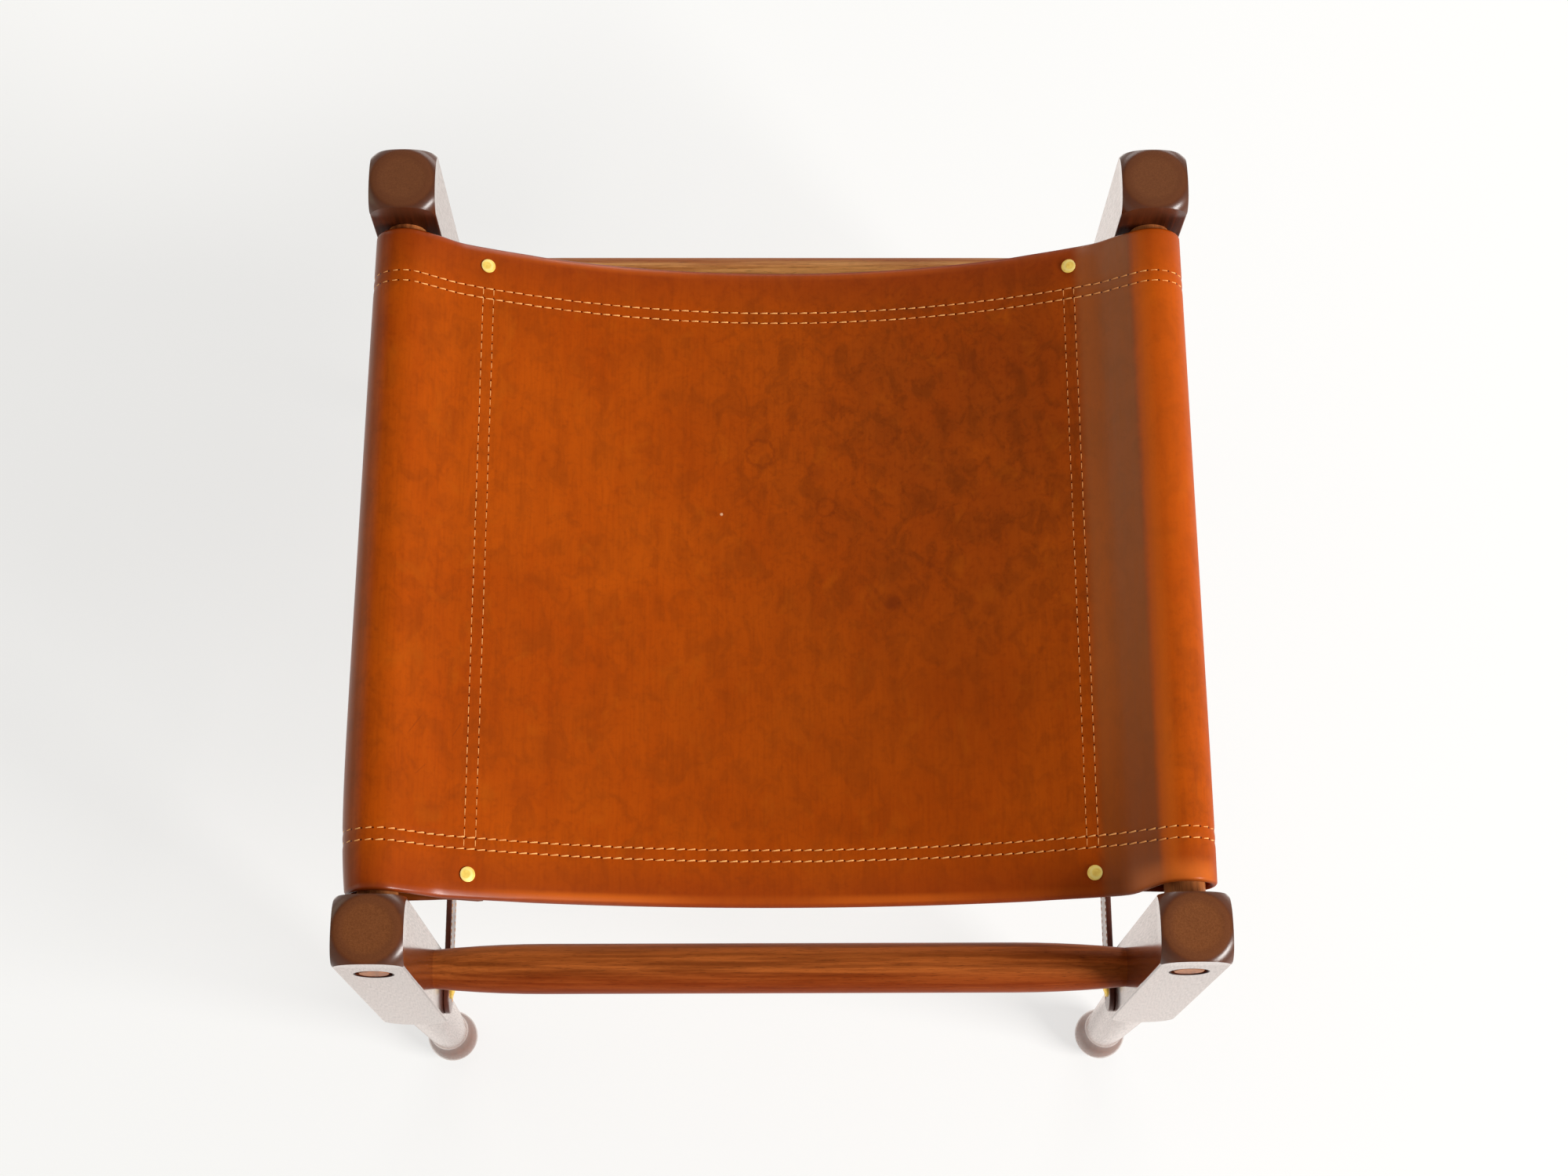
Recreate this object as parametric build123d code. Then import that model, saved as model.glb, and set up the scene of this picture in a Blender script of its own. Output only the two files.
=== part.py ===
"""Safari stool: a turned wooden knock-down frame, a slung leather seat and two strap braces.

Millimetres. Origin on the floor under the middle of the seat, +X to the right,
+Y to the back, +Z up. The stool is the same left and right of the YZ plane.
"""
from build123d import *
from math import asin, atan2, cos, degrees, hypot, radians, sin
import os

# Overall size
WIDTH = 520.0
DEPTH = 520.0
HEIGHT = 455.0

# Legs: a square block above, turned to a tapered column and a bulb foot below
LEG_X = 42.0
LEG_Y = 41.0
BLOCK_BOTTOM = 217.0
CORNER_EASE = 1.2
TOP_DISC_RADIUS = 16.0
TOP_SHOULDER_RADIUS = 13.0
PUMMEL_RISE = 18.0
COLUMN_TOP_RADIUS = 17.0
COLUMN_TOP_Z = 203.0
ANKLE_RADIUS = 13.2
BULB_RADIUS = 18.0
BULB_Z = 19.0
BULB_NECK_RADIUS = 15.2
BULB_NECK_Z = 33.6
SOLE_RADIUS = 10.5

# Stretchers, glued into the inner faces of the legs, a little inside the middle of each leg
STRETCHER_Z = 305.0
STRETCHER_INSET = 1.5
STRETCHER_RADIUS = 15.75
STRETCHER_END_RADIUS = 12.25
STRETCHER_SWELL = 70.0
MORTISE_RADIUS = 10.0
MORTISE_DEPTH = 26.0

# Side rails, loose in bores through the legs and in the sleeves of the seat
RAIL_Z = 419.0
RAIL_RADIUS = 16.0
RAIL_NECK_RADIUS = 12.25
RAIL_NECK_LENGTH = 50.0
RAIL_SWELL = 50.0
RAIL_TENON_RADIUS = 11.0
RAIL_END_RECESS = 0.3
RAIL_END_CHAMFER = 2.5
RUNNING_CLEARANCE = 0.05
SHOULDER_GAP = 0.2
BORE_MOUTH_CHAMFER = 0.4

# Seat: one leather panel that sags between the rails and wraps round them
LEATHER = 3.0
SEAT_HALF_DEPTH = 213.5
HEM_WIDTH = 42.0
SLEEVE_CLEARANCE = 0.4
SAG_RADIUS = 480.0
SHOULDER_BLEND_RADIUS = 60.0
SHOULDER_ANGLE = 36.0
SHOULDER_RUN = 22.0
FLAP_START_X = 192.0
FLAP_END_X = 178.0
FLAP_BLEND_RADIUS = 20.0
FLAP_SINK = 0.2

# Seat rivets, one at each corner of the sewn frame
RIVET_X = 188.0
RIVET_Y = 199.0
RIVET_HEAD_RADIUS = 4.6
RIVET_HEAD_HEIGHT = 1.5
RIVET_SHANK_RADIUS = 1.6
RIVET_PEEN = 0.6
RIVET_LIFT = 0.03
BURR_RADIUS = 4.2
BURR_THICKNESS = 1.2

# Strap braces along the inner faces of the legs
STRAP_Z = 246.0
STRAP_WIDTH = 24.0
STRAP_THICKNESS = 3.6
STRAP_END_INSET = 3.0
STRAP_END_ROUNDING = 11.0
HOLE_LENGTH = 14.0
HOLE_WIDTH = 4.4
HOLE_PITCH = 20.0
HOLES_EACH_SIDE = 2
PRONG_HOLE_SHIFT = 1.6
PUNCH_HEIGHT = 11.0
CLIMB_START_FROM_TIP = 3.0
CREST_BEFORE_BAR = 4.5
CREST_AFTER_BAR = 5.5
DESCENT_LENGTH = 12.5
TAIL_END = 62.0
TAIL_GAP = 0.1

# Buckles, with the hinge bar in the middle of the stool
BAR_HALF = 1.7
BAR_EASE = 1.5
BUCKLE_OUTER_CORNER = 5.0
BUCKLE_INNER_CORNER = 2.0
BUCKLE_REACH = 30.0
BUCKLE_INNER_HALF_WIDTH = 13.3
LOOP_INNER_RADIUS = 2.2
LOOP_OUTER_RADIUS = 4.0
LOOP_LENGTH = 9.0
PRONG_WIDTH = 3.4
PRONG_THICKNESS = 2.2
PRONG_EYE_INNER_RADIUS = 1.95
PRONG_EYE_OUTER_RADIUS = 3.4
PRONG_OVERHANG = 2.5
PRONG_TIP_BEVEL = 1.0
PRONG_TIP_THICKNESS = 0.8
PRONG_SLOT_WIDTH = 5.0
BUCKLE_GAP = 0.3

# Keepers, loose leather loops over the strap ends
KEEPER_PLACE = 40.0
KEEPER_LENGTH = 12.0
KEEPER_THICKNESS = 1.6
KEEPER_GAP = 0.4
KEEPER_OUTER_CORNER = 2.2
KEEPER_INNER_CORNER = 0.6

# Strap screws, one into each leg
SCREW_HEAD_RADIUS = 6.0
SCREW_HEAD_HEIGHT = 1.9
SCREW_HEAD_EDGE = 0.4
SCREW_SHANK_RADIUS = 2.2
SCREW_LENGTH = 26.0
SCREW_SLOT_WIDTH = 1.0
SCREW_SLOT_DEPTH = 0.9
WASHER_RADIUS = 8.0
WASHER_THICKNESS = 1.0

# How far a cutter runs past the face that it cuts, and how far two joined lengths overlap
CUT_OVERRUN = 1.0
JOINT_OVERLAP = 1.0

# Places that follow from the sizes above
leg_center_x = (WIDTH - LEG_X) / 2
leg_center_y = (DEPTH - LEG_Y) / 2
leg_inner_x = leg_center_x - LEG_X / 2
leg_inner_y = leg_center_y - LEG_Y / 2
strap_inner_x = leg_inner_x - STRAP_THICKNESS
strap_end = DEPTH / 2 - STRAP_END_INSET
strap_middle = STRAP_THICKNESS / 2
loop_path_radius = RAIL_RADIUS + SLEEVE_CLEARANCE + LEATHER / 2
rivet_depth = LEATHER * 5 / 2 - FLAP_SINK


def arc_point(point, heading, radius, angle):
    """End of an arc that leaves point along heading; a positive angle turns left."""
    side = 1 if angle > 0 else -1
    center = heading + side * 90
    away = center + 180 + angle
    x = point[0] + radius * (cos(radians(center)) + cos(radians(away)))
    y = point[1] + radius * (sin(radians(center)) + sin(radians(away)))
    return (x, y)


def beside(point, heading, distance):
    """Point at a distance to the left of a heading."""
    return (point[0] - distance * sin(radians(heading)), point[1] + distance * cos(radians(heading)))


def run_edges(start, heading, moves, distance):
    """Edges beside a path of straight runs ("run", length) and arcs ("arc", radius, angle)."""
    edges = []
    point = start
    for move in moves:
        if move[0] == "run":
            end = (point[0] + move[1] * cos(radians(heading)), point[1] + move[1] * sin(radians(heading)))
            edges.append(Line(beside(point, heading, distance), beside(end, heading, distance)))
        else:
            radius, angle = move[1], move[2]
            middle = arc_point(point, heading, radius, angle / 2)
            end = arc_point(point, heading, radius, angle)
            edges.append(ThreePointArc(
                beside(point, heading, distance),
                beside(middle, heading + angle / 2, distance),
                beside(end, heading + angle, distance),
            ))
            heading += angle
        point = end
    return edges, point, heading


def path_end(start, heading, moves):
    """Point and heading at the end of a path."""
    edges, point, heading = run_edges(start, heading, moves, 0)
    return point, heading


def ribbon(start, heading, moves, left, right):
    """Flat band that follows a path, from left to right of it."""
    left_edges = run_edges(start, heading, moves, left)[0]
    right_edges = run_edges(start, heading, moves, right)[0]
    caps = [
        Line(left_edges[0] @ 0, right_edges[0] @ 0),
        Line(left_edges[-1] @ 1, right_edges[-1] @ 1),
    ]
    return make_face(left_edges + right_edges + caps)


def turned(points_and_edges, axis=Axis.Z):
    """Solid of revolution from the edges of a half section on the XZ plane."""
    return revolve(Plane.XZ * make_face(points_and_edges), axis=axis)


def spindle(sections):
    """Turned bar along Z from (height, radius) pairs joined by straight lines."""
    outline = [(0, sections[0][0])] + [(radius, z) for z, radius in sections] + [(0, sections[-1][0])]
    return turned([Line(a, b) for a, b in zip(outline, outline[1:] + outline[:1])])


# Legs
def leg_block():
    """Square block whose ends are rounded on the lathe."""
    block = Pos(0, 0, (HEIGHT + BLOCK_BOTTOM) / 2) * Box(LEG_X, LEG_Y, HEIGHT - BLOCK_BOTTOM)
    block = fillet(block.edges().filter_by(Axis.Z), CORNER_EASE)
    shoulder_x = TOP_DISC_RADIUS + TOP_SHOULDER_RADIUS
    shoulder_z = HEIGHT - TOP_SHOULDER_RADIUS
    envelope = turned([
        Line((0, HEIGHT), (TOP_DISC_RADIUS, HEIGHT)),
        TangentArc((TOP_DISC_RADIUS, HEIGHT), (shoulder_x, shoulder_z), tangent=(1, 0)),
        Line((shoulder_x, shoulder_z), (shoulder_x, BLOCK_BOTTOM + PUMMEL_RISE)),
        TangentArc((shoulder_x, BLOCK_BOTTOM + PUMMEL_RISE), (LEG_Y / 2, BLOCK_BOTTOM), tangent=(0, -1)),
        Line((LEG_Y / 2, BLOCK_BOTTOM), (0, BLOCK_BOTTOM)),
        Line((0, BLOCK_BOTTOM), (0, HEIGHT)),
    ])
    return block & envelope


def leg_column():
    """Turned part of the leg: cove, tapered column, and a hollow that runs into the bulb foot."""
    collar_radius = LEG_Y / 2
    neck_slope = (BULB_NECK_Z - BULB_Z) / (BULB_RADIUS - BULB_NECK_RADIUS)
    ankle_z = BULB_NECK_Z + (BULB_NECK_RADIUS - ANKLE_RADIUS) * neck_slope
    return turned([
        Line((0, BLOCK_BOTTOM), (collar_radius, BLOCK_BOTTOM)),
        TangentArc((COLUMN_TOP_RADIUS, COLUMN_TOP_Z), (collar_radius, BLOCK_BOTTOM), tangent=(0, 1)),
        Line((COLUMN_TOP_RADIUS, COLUMN_TOP_Z), (ANKLE_RADIUS, ankle_z)),
        TangentArc((ANKLE_RADIUS, ankle_z), (BULB_NECK_RADIUS, BULB_NECK_Z), tangent=(0, -1)),
        TangentArc((BULB_RADIUS, BULB_Z), (BULB_NECK_RADIUS, BULB_NECK_Z), tangent=(0, 1)),
        TangentArc((BULB_RADIUS, BULB_Z), (SOLE_RADIUS, 0), tangent=(0, -1)),
        Line((SOLE_RADIUS, 0), (0, 0)),
        Line((0, 0), (0, BLOCK_BOTTOM)),
    ])


def rail_bore():
    """Bore through the block for the side rail, opened out where it leaves the outer face."""
    radius = RAIL_TENON_RADIUS + RUNNING_CLEARANCE
    face = LEG_Y / 2
    bore = spindle([
        (-face - CUT_OVERRUN, radius + BORE_MOUTH_CHAMFER + CUT_OVERRUN),
        (-face + BORE_MOUTH_CHAMFER, radius),
        (face + CUT_OVERRUN, radius),
    ])
    return Pos(0, 0, RAIL_Z) * Rot(-90, 0, 0) * bore


def leg():
    """Front left leg, standing on the origin."""
    mortise = Rot(0, 90, 0) * Cylinder(MORTISE_RADIUS, MORTISE_DEPTH)
    mortise = Pos(LEG_X / 2 - MORTISE_DEPTH / 2, STRETCHER_INSET, STRETCHER_Z) * mortise
    pilot_depth = SCREW_LENGTH - STRAP_THICKNESS - WASHER_THICKNESS
    pilot = Pos(LEG_X / 2 - pilot_depth / 2, 0, STRAP_Z) * Rot(0, 90, 0) * Cylinder(
        SCREW_SHANK_RADIUS, pilot_depth)
    return leg_block() + leg_column() - mortise - rail_bore() - pilot


# Turned bars
def stretcher():
    """Cigar-shaped bar along X with a tenon at each end."""
    swell_start = leg_inner_x - STRETCHER_SWELL
    tenon_end = leg_inner_x + MORTISE_DEPTH
    upper = [
        Line((-tenon_end, 0), (-tenon_end, MORTISE_RADIUS)),
        Line((-tenon_end, MORTISE_RADIUS), (-leg_inner_x, MORTISE_RADIUS)),
        Line((-leg_inner_x, MORTISE_RADIUS), (-leg_inner_x, STRETCHER_END_RADIUS)),
        TangentArc((-swell_start, STRETCHER_RADIUS), (-leg_inner_x, STRETCHER_END_RADIUS), tangent=(-1, 0)),
        Line((-swell_start, STRETCHER_RADIUS), (swell_start, STRETCHER_RADIUS)),
        TangentArc((swell_start, STRETCHER_RADIUS), (leg_inner_x, STRETCHER_END_RADIUS), tangent=(1, 0)),
        Line((leg_inner_x, STRETCHER_END_RADIUS), (leg_inner_x, MORTISE_RADIUS)),
        Line((leg_inner_x, MORTISE_RADIUS), (tenon_end, MORTISE_RADIUS)),
        Line((tenon_end, MORTISE_RADIUS), (tenon_end, 0)),
        Line((tenon_end, 0), (-tenon_end, 0)),
    ]
    return turned(upper, axis=Axis.X)


def side_rail():
    """Round bar along Y: chamfered tenon, shouldered neck, swollen middle, neck, tenon."""
    tenon_end = DEPTH / 2 - RAIL_END_RECESS
    half = [
        (RAIL_RADIUS, leg_inner_y - RAIL_NECK_LENGTH - RAIL_SWELL),
        (RAIL_NECK_RADIUS, leg_inner_y - RAIL_NECK_LENGTH),
        (RAIL_NECK_RADIUS, leg_inner_y - SHOULDER_GAP),
        (RAIL_TENON_RADIUS, leg_inner_y - SHOULDER_GAP),
        (RAIL_TENON_RADIUS, tenon_end - RAIL_END_CHAMFER),
        (RAIL_TENON_RADIUS - RAIL_END_CHAMFER, tenon_end),
    ]
    sections = [(-y, radius) for radius, y in reversed(half)] + [(y, radius) for radius, y in half]
    return Rot(-90, 0, 0) * spindle(sections)


# Seat
def upper_moves():
    """Right half of the seat's path, from the middle to where it meets the rail; also its start."""
    angle = radians(SHOULDER_ANGLE)
    touch_x = leg_center_x - loop_path_radius * sin(angle)
    touch_z = RAIL_Z + loop_path_radius * cos(angle)
    reach = touch_x - SHOULDER_RUN * cos(angle) - SHOULDER_BLEND_RADIUS * sin(angle)
    sag_angle = asin(reach / (SAG_RADIUS - SHOULDER_BLEND_RADIUS))
    rise = SAG_RADIUS * (1 - cos(sag_angle))
    rise += SHOULDER_BLEND_RADIUS * (cos(sag_angle) - cos(angle))
    rise += SHOULDER_RUN * sin(angle)
    moves = [
        ("arc", SAG_RADIUS, degrees(sag_angle)),
        ("arc", SHOULDER_BLEND_RADIUS, SHOULDER_ANGLE - degrees(sag_angle)),
        ("run", SHOULDER_RUN),
    ]
    return touch_z - rise, moves


seat_low_z, seat_upper_moves = upper_moves()
sag_center_z = seat_low_z + SAG_RADIUS


def seat_height(x):
    """Height of the middle of the leather between the seams."""
    return sag_center_z - (SAG_RADIUS ** 2 - x ** 2) ** 0.5


def lower_moves():
    """The path round the rail and back under the seat to its sewn flap."""
    flap_radius = SAG_RADIUS + LEATHER - FLAP_SINK
    start_angle = degrees(asin(FLAP_START_X / flap_radius))
    end_angle = degrees(asin(FLAP_END_X / flap_radius))
    flap_heading = 180 + start_angle
    flap_point = (FLAP_START_X, sag_center_z - flap_radius * cos(radians(start_angle)))
    blend_center = beside(flap_point, flap_heading, FLAP_BLEND_RADIUS)
    dx = blend_center[0] - leg_center_x
    dz = blend_center[1] - RAIL_Z
    span = hypot(dx, dz)
    both_radii = loop_path_radius + FLAP_BLEND_RADIUS
    run_heading = degrees(atan2(dz, dx)) % 360 - degrees(asin(both_radii / span))
    run_length = (span ** 2 - both_radii ** 2) ** 0.5
    loop = ("arc", loop_path_radius, run_heading - 360 - SHOULDER_ANGLE)
    flap = [
        ("arc", FLAP_BLEND_RADIUS, flap_heading - run_heading),
        ("arc", flap_radius, end_angle - start_angle),
    ]
    return loop, run_length, flap


def whole_width(moves):
    """Start, heading and moves of a path that runs through from the left side to the right."""
    end, heading = path_end((0, seat_low_z), 0, moves)
    return (-end[0], end[1]), -heading, list(reversed(moves)) + moves


def seat_band(moves, inside, low_y, high_y):
    """Leather along a path, between two depths, with its inner face at a distance inside the path."""
    start, heading, both = whole_width(moves)
    section = Plane.XZ * ribbon(start, heading, both, LEATHER / 2, -inside)
    return Pos(0, high_y, 0) * extrude(section, high_y - low_y)


def seat_sling():
    """Panel, sleeves, sewn flaps and the folded hems along the front and back edges."""
    loop, run_length, flap = lower_moves()
    half_run = run_length / 2
    wrap = seat_upper_moves + [loop]
    sling = seat_band(wrap + [("run", half_run)], LEATHER / 2, -SEAT_HALF_DEPTH, SEAT_HALF_DEPTH)
    joint, heading = path_end((0, seat_low_z), 0, wrap + [("run", half_run - JOINT_OVERLAP)])
    flap = [("run", half_run + JOINT_OVERLAP)] + flap
    flap_section = Plane.XZ * ribbon(joint, heading, flap, LEATHER / 2, -LEATHER / 2)
    right_flap = Pos(0, SEAT_HALF_DEPTH, 0) * extrude(flap_section, 2 * SEAT_HALF_DEPTH)
    sling = sling + right_flap + mirror(right_flap, Plane.YZ)
    hem = wrap + [("run", half_run / 2)]
    inner_edge = SEAT_HALF_DEPTH - HEM_WIDTH
    doubled_flap = Plane.XZ * ribbon(joint, heading, flap, LEATHER * 3 / 2, -LEATHER / 2)
    for low_y, high_y in ((-SEAT_HALF_DEPTH, -inner_edge), (inner_edge, SEAT_HALF_DEPTH)):
        sling = sling + seat_band(hem, LEATHER * 3 / 2, low_y, high_y)
        right_hem = Pos(0, high_y, 0) * extrude(doubled_flap, HEM_WIDTH)
        sling = sling + right_hem + mirror(right_hem, Plane.YZ)
    for hole in at_rivets(Cylinder(RIVET_SHANK_RADIUS, 2 * (rivet_depth + CUT_OVERRUN))):
        sling = sling - hole
    return sling


def at_rivets(piece):
    """Copies of a piece, square to the leather at the four rivets."""
    slope = degrees(asin(RIVET_X / SAG_RADIUS))
    return [
        Pos(side * RIVET_X, end * RIVET_Y, seat_height(RIVET_X)) * Rot(0, -side * slope, 0) * piece
        for side in (-1, 1)
        for end in (-1, 1)
    ]


def round_head(radius, edge_height, height):
    """Low domed disc that stands on the XY plane."""
    return turned([
        Line((0, 0), (radius, 0)),
        Line((radius, 0), (radius, edge_height)),
        TangentArc((0, height), (radius, edge_height), tangent=(1, 0)),
        Line((0, height), (0, 0)),
    ])


def seat_rivet():
    """Rivet with a low domed head on the leather and a shank that ends under its burr."""
    top = LEATHER / 2 + RIVET_LIFT
    foot = -rivet_depth - BURR_THICKNESS - RIVET_PEEN
    head = Pos(0, 0, top) * round_head(RIVET_HEAD_RADIUS, RIVET_HEAD_HEIGHT / 2, RIVET_HEAD_HEIGHT)
    shank = Pos(0, 0, (foot + top) / 2) * Cylinder(RIVET_SHANK_RADIUS, top - foot)
    return head + shank


def rivet_burr():
    """Washer that the rivet is closed over, under the doubled flap of the sleeve."""
    ring = Cylinder(BURR_RADIUS, BURR_THICKNESS) - Cylinder(RIVET_SHANK_RADIUS, BURR_THICKNESS)
    return Pos(0, 0, -rivet_depth - BURR_THICKNESS / 2) * ring


# Strap braces, made for the left side: s runs to the back and n outwards, away from the seat
strap_plane = Plane(origin=(-strap_inner_x, 0, STRAP_Z), x_dir=(0, 1, 0), z_dir=(0, 0, 1))
bar_n = strap_middle
tip_n = STRAP_THICKNESS + BUCKLE_GAP + BAR_HALF
frame_tilt = degrees(atan2(tip_n - bar_n, BUCKLE_REACH))
prong_tip_n = tip_n + BAR_HALF + BUCKLE_GAP + PRONG_THICKNESS / 2
prong_tilt = degrees(atan2(prong_tip_n - bar_n, BUCKLE_REACH))
over_bar_n = bar_n + LOOP_OUTER_RADIUS + BUCKLE_GAP + strap_middle
tail_n = STRAP_THICKNESS * 1.5 + TAIL_GAP


def slab(face, width):
    """Face in the strap's s and n, given a width that is centred on the strap."""
    return extrude(strap_plane * face, width / 2, both=True)


def s_bend(length, rise):
    """Two equal arcs that move a path sideways by rise over a length."""
    angle = 2 * degrees(atan2(abs(rise), length))
    radius = length / (2 * sin(radians(angle)))
    turn = angle if rise > 0 else -angle
    return [("arc", radius, turn), ("arc", radius, -turn)]


climb_start = CLIMB_START_FROM_TIP - BUCKLE_REACH
climb_end = -CREST_BEFORE_BAR
crest_end = CREST_AFTER_BAR
tail_start = crest_end + DESCENT_LENGTH


def tongue_moves():
    """Path of the punched strap, from the front leg over the hinge bar to its tail."""
    return [
        ("run", climb_start + strap_end),
        *s_bend(climb_end - climb_start, over_bar_n - strap_middle),
        ("run", crest_end - climb_end),
        *s_bend(tail_start - crest_end, tail_n - over_bar_n),
        ("run", TAIL_END - tail_start),
    ]


def round_end(strap, end):
    """Round the corners of a strap at its front end (0) or its back end (-1)."""
    corners = strap.edges().filter_by(Axis.X).group_by(Axis.Y)[end]
    return fillet(corners, STRAP_END_ROUNDING)


def punch():
    """Cutter for one oblong hole, standing on the origin along n."""
    straight = HOLE_LENGTH - HOLE_WIDTH
    return Rot(0, 90, 0) * (
        Box(HOLE_WIDTH, straight, PUNCH_HEIGHT)
        + Pos(0, straight / 2, 0) * Cylinder(HOLE_WIDTH / 2, PUNCH_HEIGHT)
        + Pos(0, -straight / 2, 0) * Cylinder(HOLE_WIDTH / 2, PUNCH_HEIGHT))


def strap_holes():
    """Cutters along the punched strap; the middle one takes the prong."""
    rise = over_bar_n - strap_middle
    slope = 2 * degrees(atan2(rise, climb_end - climb_start))
    middle_s = (climb_start + climb_end) / 2
    middle_x = -strap_inner_x - (strap_middle + over_bar_n) / 2
    middle = Pos(middle_x, middle_s, STRAP_Z) * Rot(0, 0, slope) * Pos(0, PRONG_HOLE_SHIFT, 0)
    cutters = [middle * punch()]
    for step in range(1, HOLES_EACH_SIDE + 1):
        before = middle_s - step * HOLE_PITCH
        after = middle_s + step * HOLE_PITCH
        for s in (before, after):
            cutters.append(Pos(-strap_inner_x - tail_n, s, STRAP_Z) * punch())
    return cutters


def screw_hole(y):
    """Cutter for the strap screw at a leg."""
    return Pos(-leg_inner_x + strap_middle, y, STRAP_Z) * Rot(0, 90, 0) * Cylinder(
        SCREW_SHANK_RADIUS, STRAP_THICKNESS + 2 * CUT_OVERRUN)


def strap_tongue():
    """Punched strap that is screwed to the front leg."""
    side = ribbon((-strap_end, strap_middle), 0, tongue_moves(), strap_middle, -strap_middle)
    strap = round_end(slab(side, STRAP_WIDTH), 0)
    strap = round_end(strap, -1)
    for cutter in strap_holes():
        strap = strap - cutter
    return strap - screw_hole(-leg_center_y)


def strap_heel():
    """Strap that is screwed to the back leg and folded round the hinge bar of the buckle."""
    straight = [("run", strap_end - LOOP_LENGTH)]
    band = ribbon((LOOP_LENGTH, strap_middle), 0, straight, strap_middle, -strap_middle)
    fold = Polygon(
        (0, bar_n + LOOP_OUTER_RADIUS), (0, bar_n - LOOP_OUTER_RADIUS),
        (LOOP_LENGTH, 0), (LOOP_LENGTH, STRAP_THICKNESS), align=None)
    fold = fold + Pos(0, bar_n) * Circle(LOOP_OUTER_RADIUS) - Pos(0, bar_n) * Circle(LOOP_INNER_RADIUS)
    strap = slab(band, STRAP_WIDTH) + slab(fold, STRAP_WIDTH)
    strap = round_end(strap, -1)
    slot_back = PRONG_EYE_OUTER_RADIUS + BUCKLE_GAP
    slot_front = -LOOP_OUTER_RADIUS - CUT_OVERRUN
    slot_height = 2 * (LOOP_OUTER_RADIUS + CUT_OVERRUN)
    slot = Pos((slot_back + slot_front) / 2, bar_n) * Rectangle(slot_back - slot_front, slot_height)
    return strap - slab(slot, PRONG_SLOT_WIDTH) - screw_hole(leg_center_y)


def buckle_frame():
    """Rounded rectangular frame; its back bar is the hinge."""
    half_width = BUCKLE_INNER_HALF_WIDTH + BAR_HALF
    outer = RectangleRounded(BUCKLE_REACH + 2 * BAR_HALF, 2 * (half_width + BAR_HALF), BUCKLE_OUTER_CORNER)
    inner = RectangleRounded(BUCKLE_REACH - 2 * BAR_HALF, 2 * (half_width - BAR_HALF), BUCKLE_INNER_CORNER)
    ring = extrude(outer - inner, BAR_HALF, both=True)
    ring = fillet(ring.edges().filter_by(Plane.XY), BAR_EASE)
    placed = Rot(90, 0, 0) * Pos(-BUCKLE_REACH / 2, 0, 0) * ring
    return strap_plane * Pos(0, bar_n, 0) * Rot(0, 0, -frame_tilt) * placed


def buckle_prong():
    """Prong with an eye round the hinge bar and a tip that rests on the front bar."""
    length = BUCKLE_REACH + PRONG_OVERHANG
    eye = Circle(PRONG_EYE_OUTER_RADIUS)
    shank = Polygon(
        (-PRONG_EYE_INNER_RADIUS, PRONG_THICKNESS / 2), (-PRONG_EYE_INNER_RADIUS, -PRONG_THICKNESS / 2),
        (PRONG_TIP_BEVEL - length, -PRONG_THICKNESS / 2),
        (-length, PRONG_THICKNESS / 2 - PRONG_TIP_THICKNESS),
        (-length, PRONG_THICKNESS / 2), align=None)
    side = Rot(0, 0, -prong_tilt) * (eye + shank - Circle(PRONG_EYE_INNER_RADIUS))
    return slab(Pos(0, bar_n) * side, PRONG_WIDTH)


def strap_keeper():
    """Leather loop round both strap ends."""
    top_n = tail_n + strap_middle + KEEPER_GAP
    height = top_n + KEEPER_GAP
    width = STRAP_WIDTH + 2 * KEEPER_GAP
    grow = 2 * KEEPER_THICKNESS
    hoop = RectangleRounded(width + grow, height + grow, KEEPER_OUTER_CORNER)
    hoop = hoop - RectangleRounded(width, height, KEEPER_INNER_CORNER)
    hoop = Rot(90, 0, 0) * extrude(hoop, KEEPER_LENGTH / 2, both=True)
    hoop = Rot(0, 90, 0) * hoop
    return Pos(-strap_inner_x - (top_n - KEEPER_GAP) / 2, KEEPER_PLACE, STRAP_Z) * hoop


# Strap screws
def strap_screw():
    """Slotted round-head wood screw along X, with its head on the +X side of the origin."""
    head = round_head(SCREW_HEAD_RADIUS, SCREW_HEAD_EDGE, SCREW_HEAD_HEIGHT)
    shank = Pos(0, 0, -SCREW_LENGTH / 2) * Cylinder(SCREW_SHANK_RADIUS, SCREW_LENGTH)
    slot_length = 2 * (SCREW_HEAD_RADIUS + CUT_OVERRUN)
    slot = Pos(0, 0, SCREW_HEAD_HEIGHT) * Box(slot_length, SCREW_SLOT_WIDTH, SCREW_SLOT_DEPTH * 2)
    return Rot(0, 90, 0) * (head + shank - slot)


def strap_washer():
    """Flat washer under the head of a strap screw."""
    ring = Cylinder(WASHER_RADIUS, WASHER_THICKNESS) - Cylinder(SCREW_SHANK_RADIUS, WASHER_THICKNESS)
    return Rot(0, 90, 0) * ring


def at_strap_ends(piece, inset):
    """Copies of a left-hand piece at the four legs, at a distance in from the strap."""
    left = [Pos(-strap_inner_x + inset, end * leg_center_y, STRAP_Z) * piece for end in (-1, 1)]
    return left + [mirror(copy, Plane.YZ) for copy in left]


# Nodes
def group(pieces):
    """Separate solids in one node."""
    return Compound(children=[piece.solid() for piece in pieces])


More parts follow.
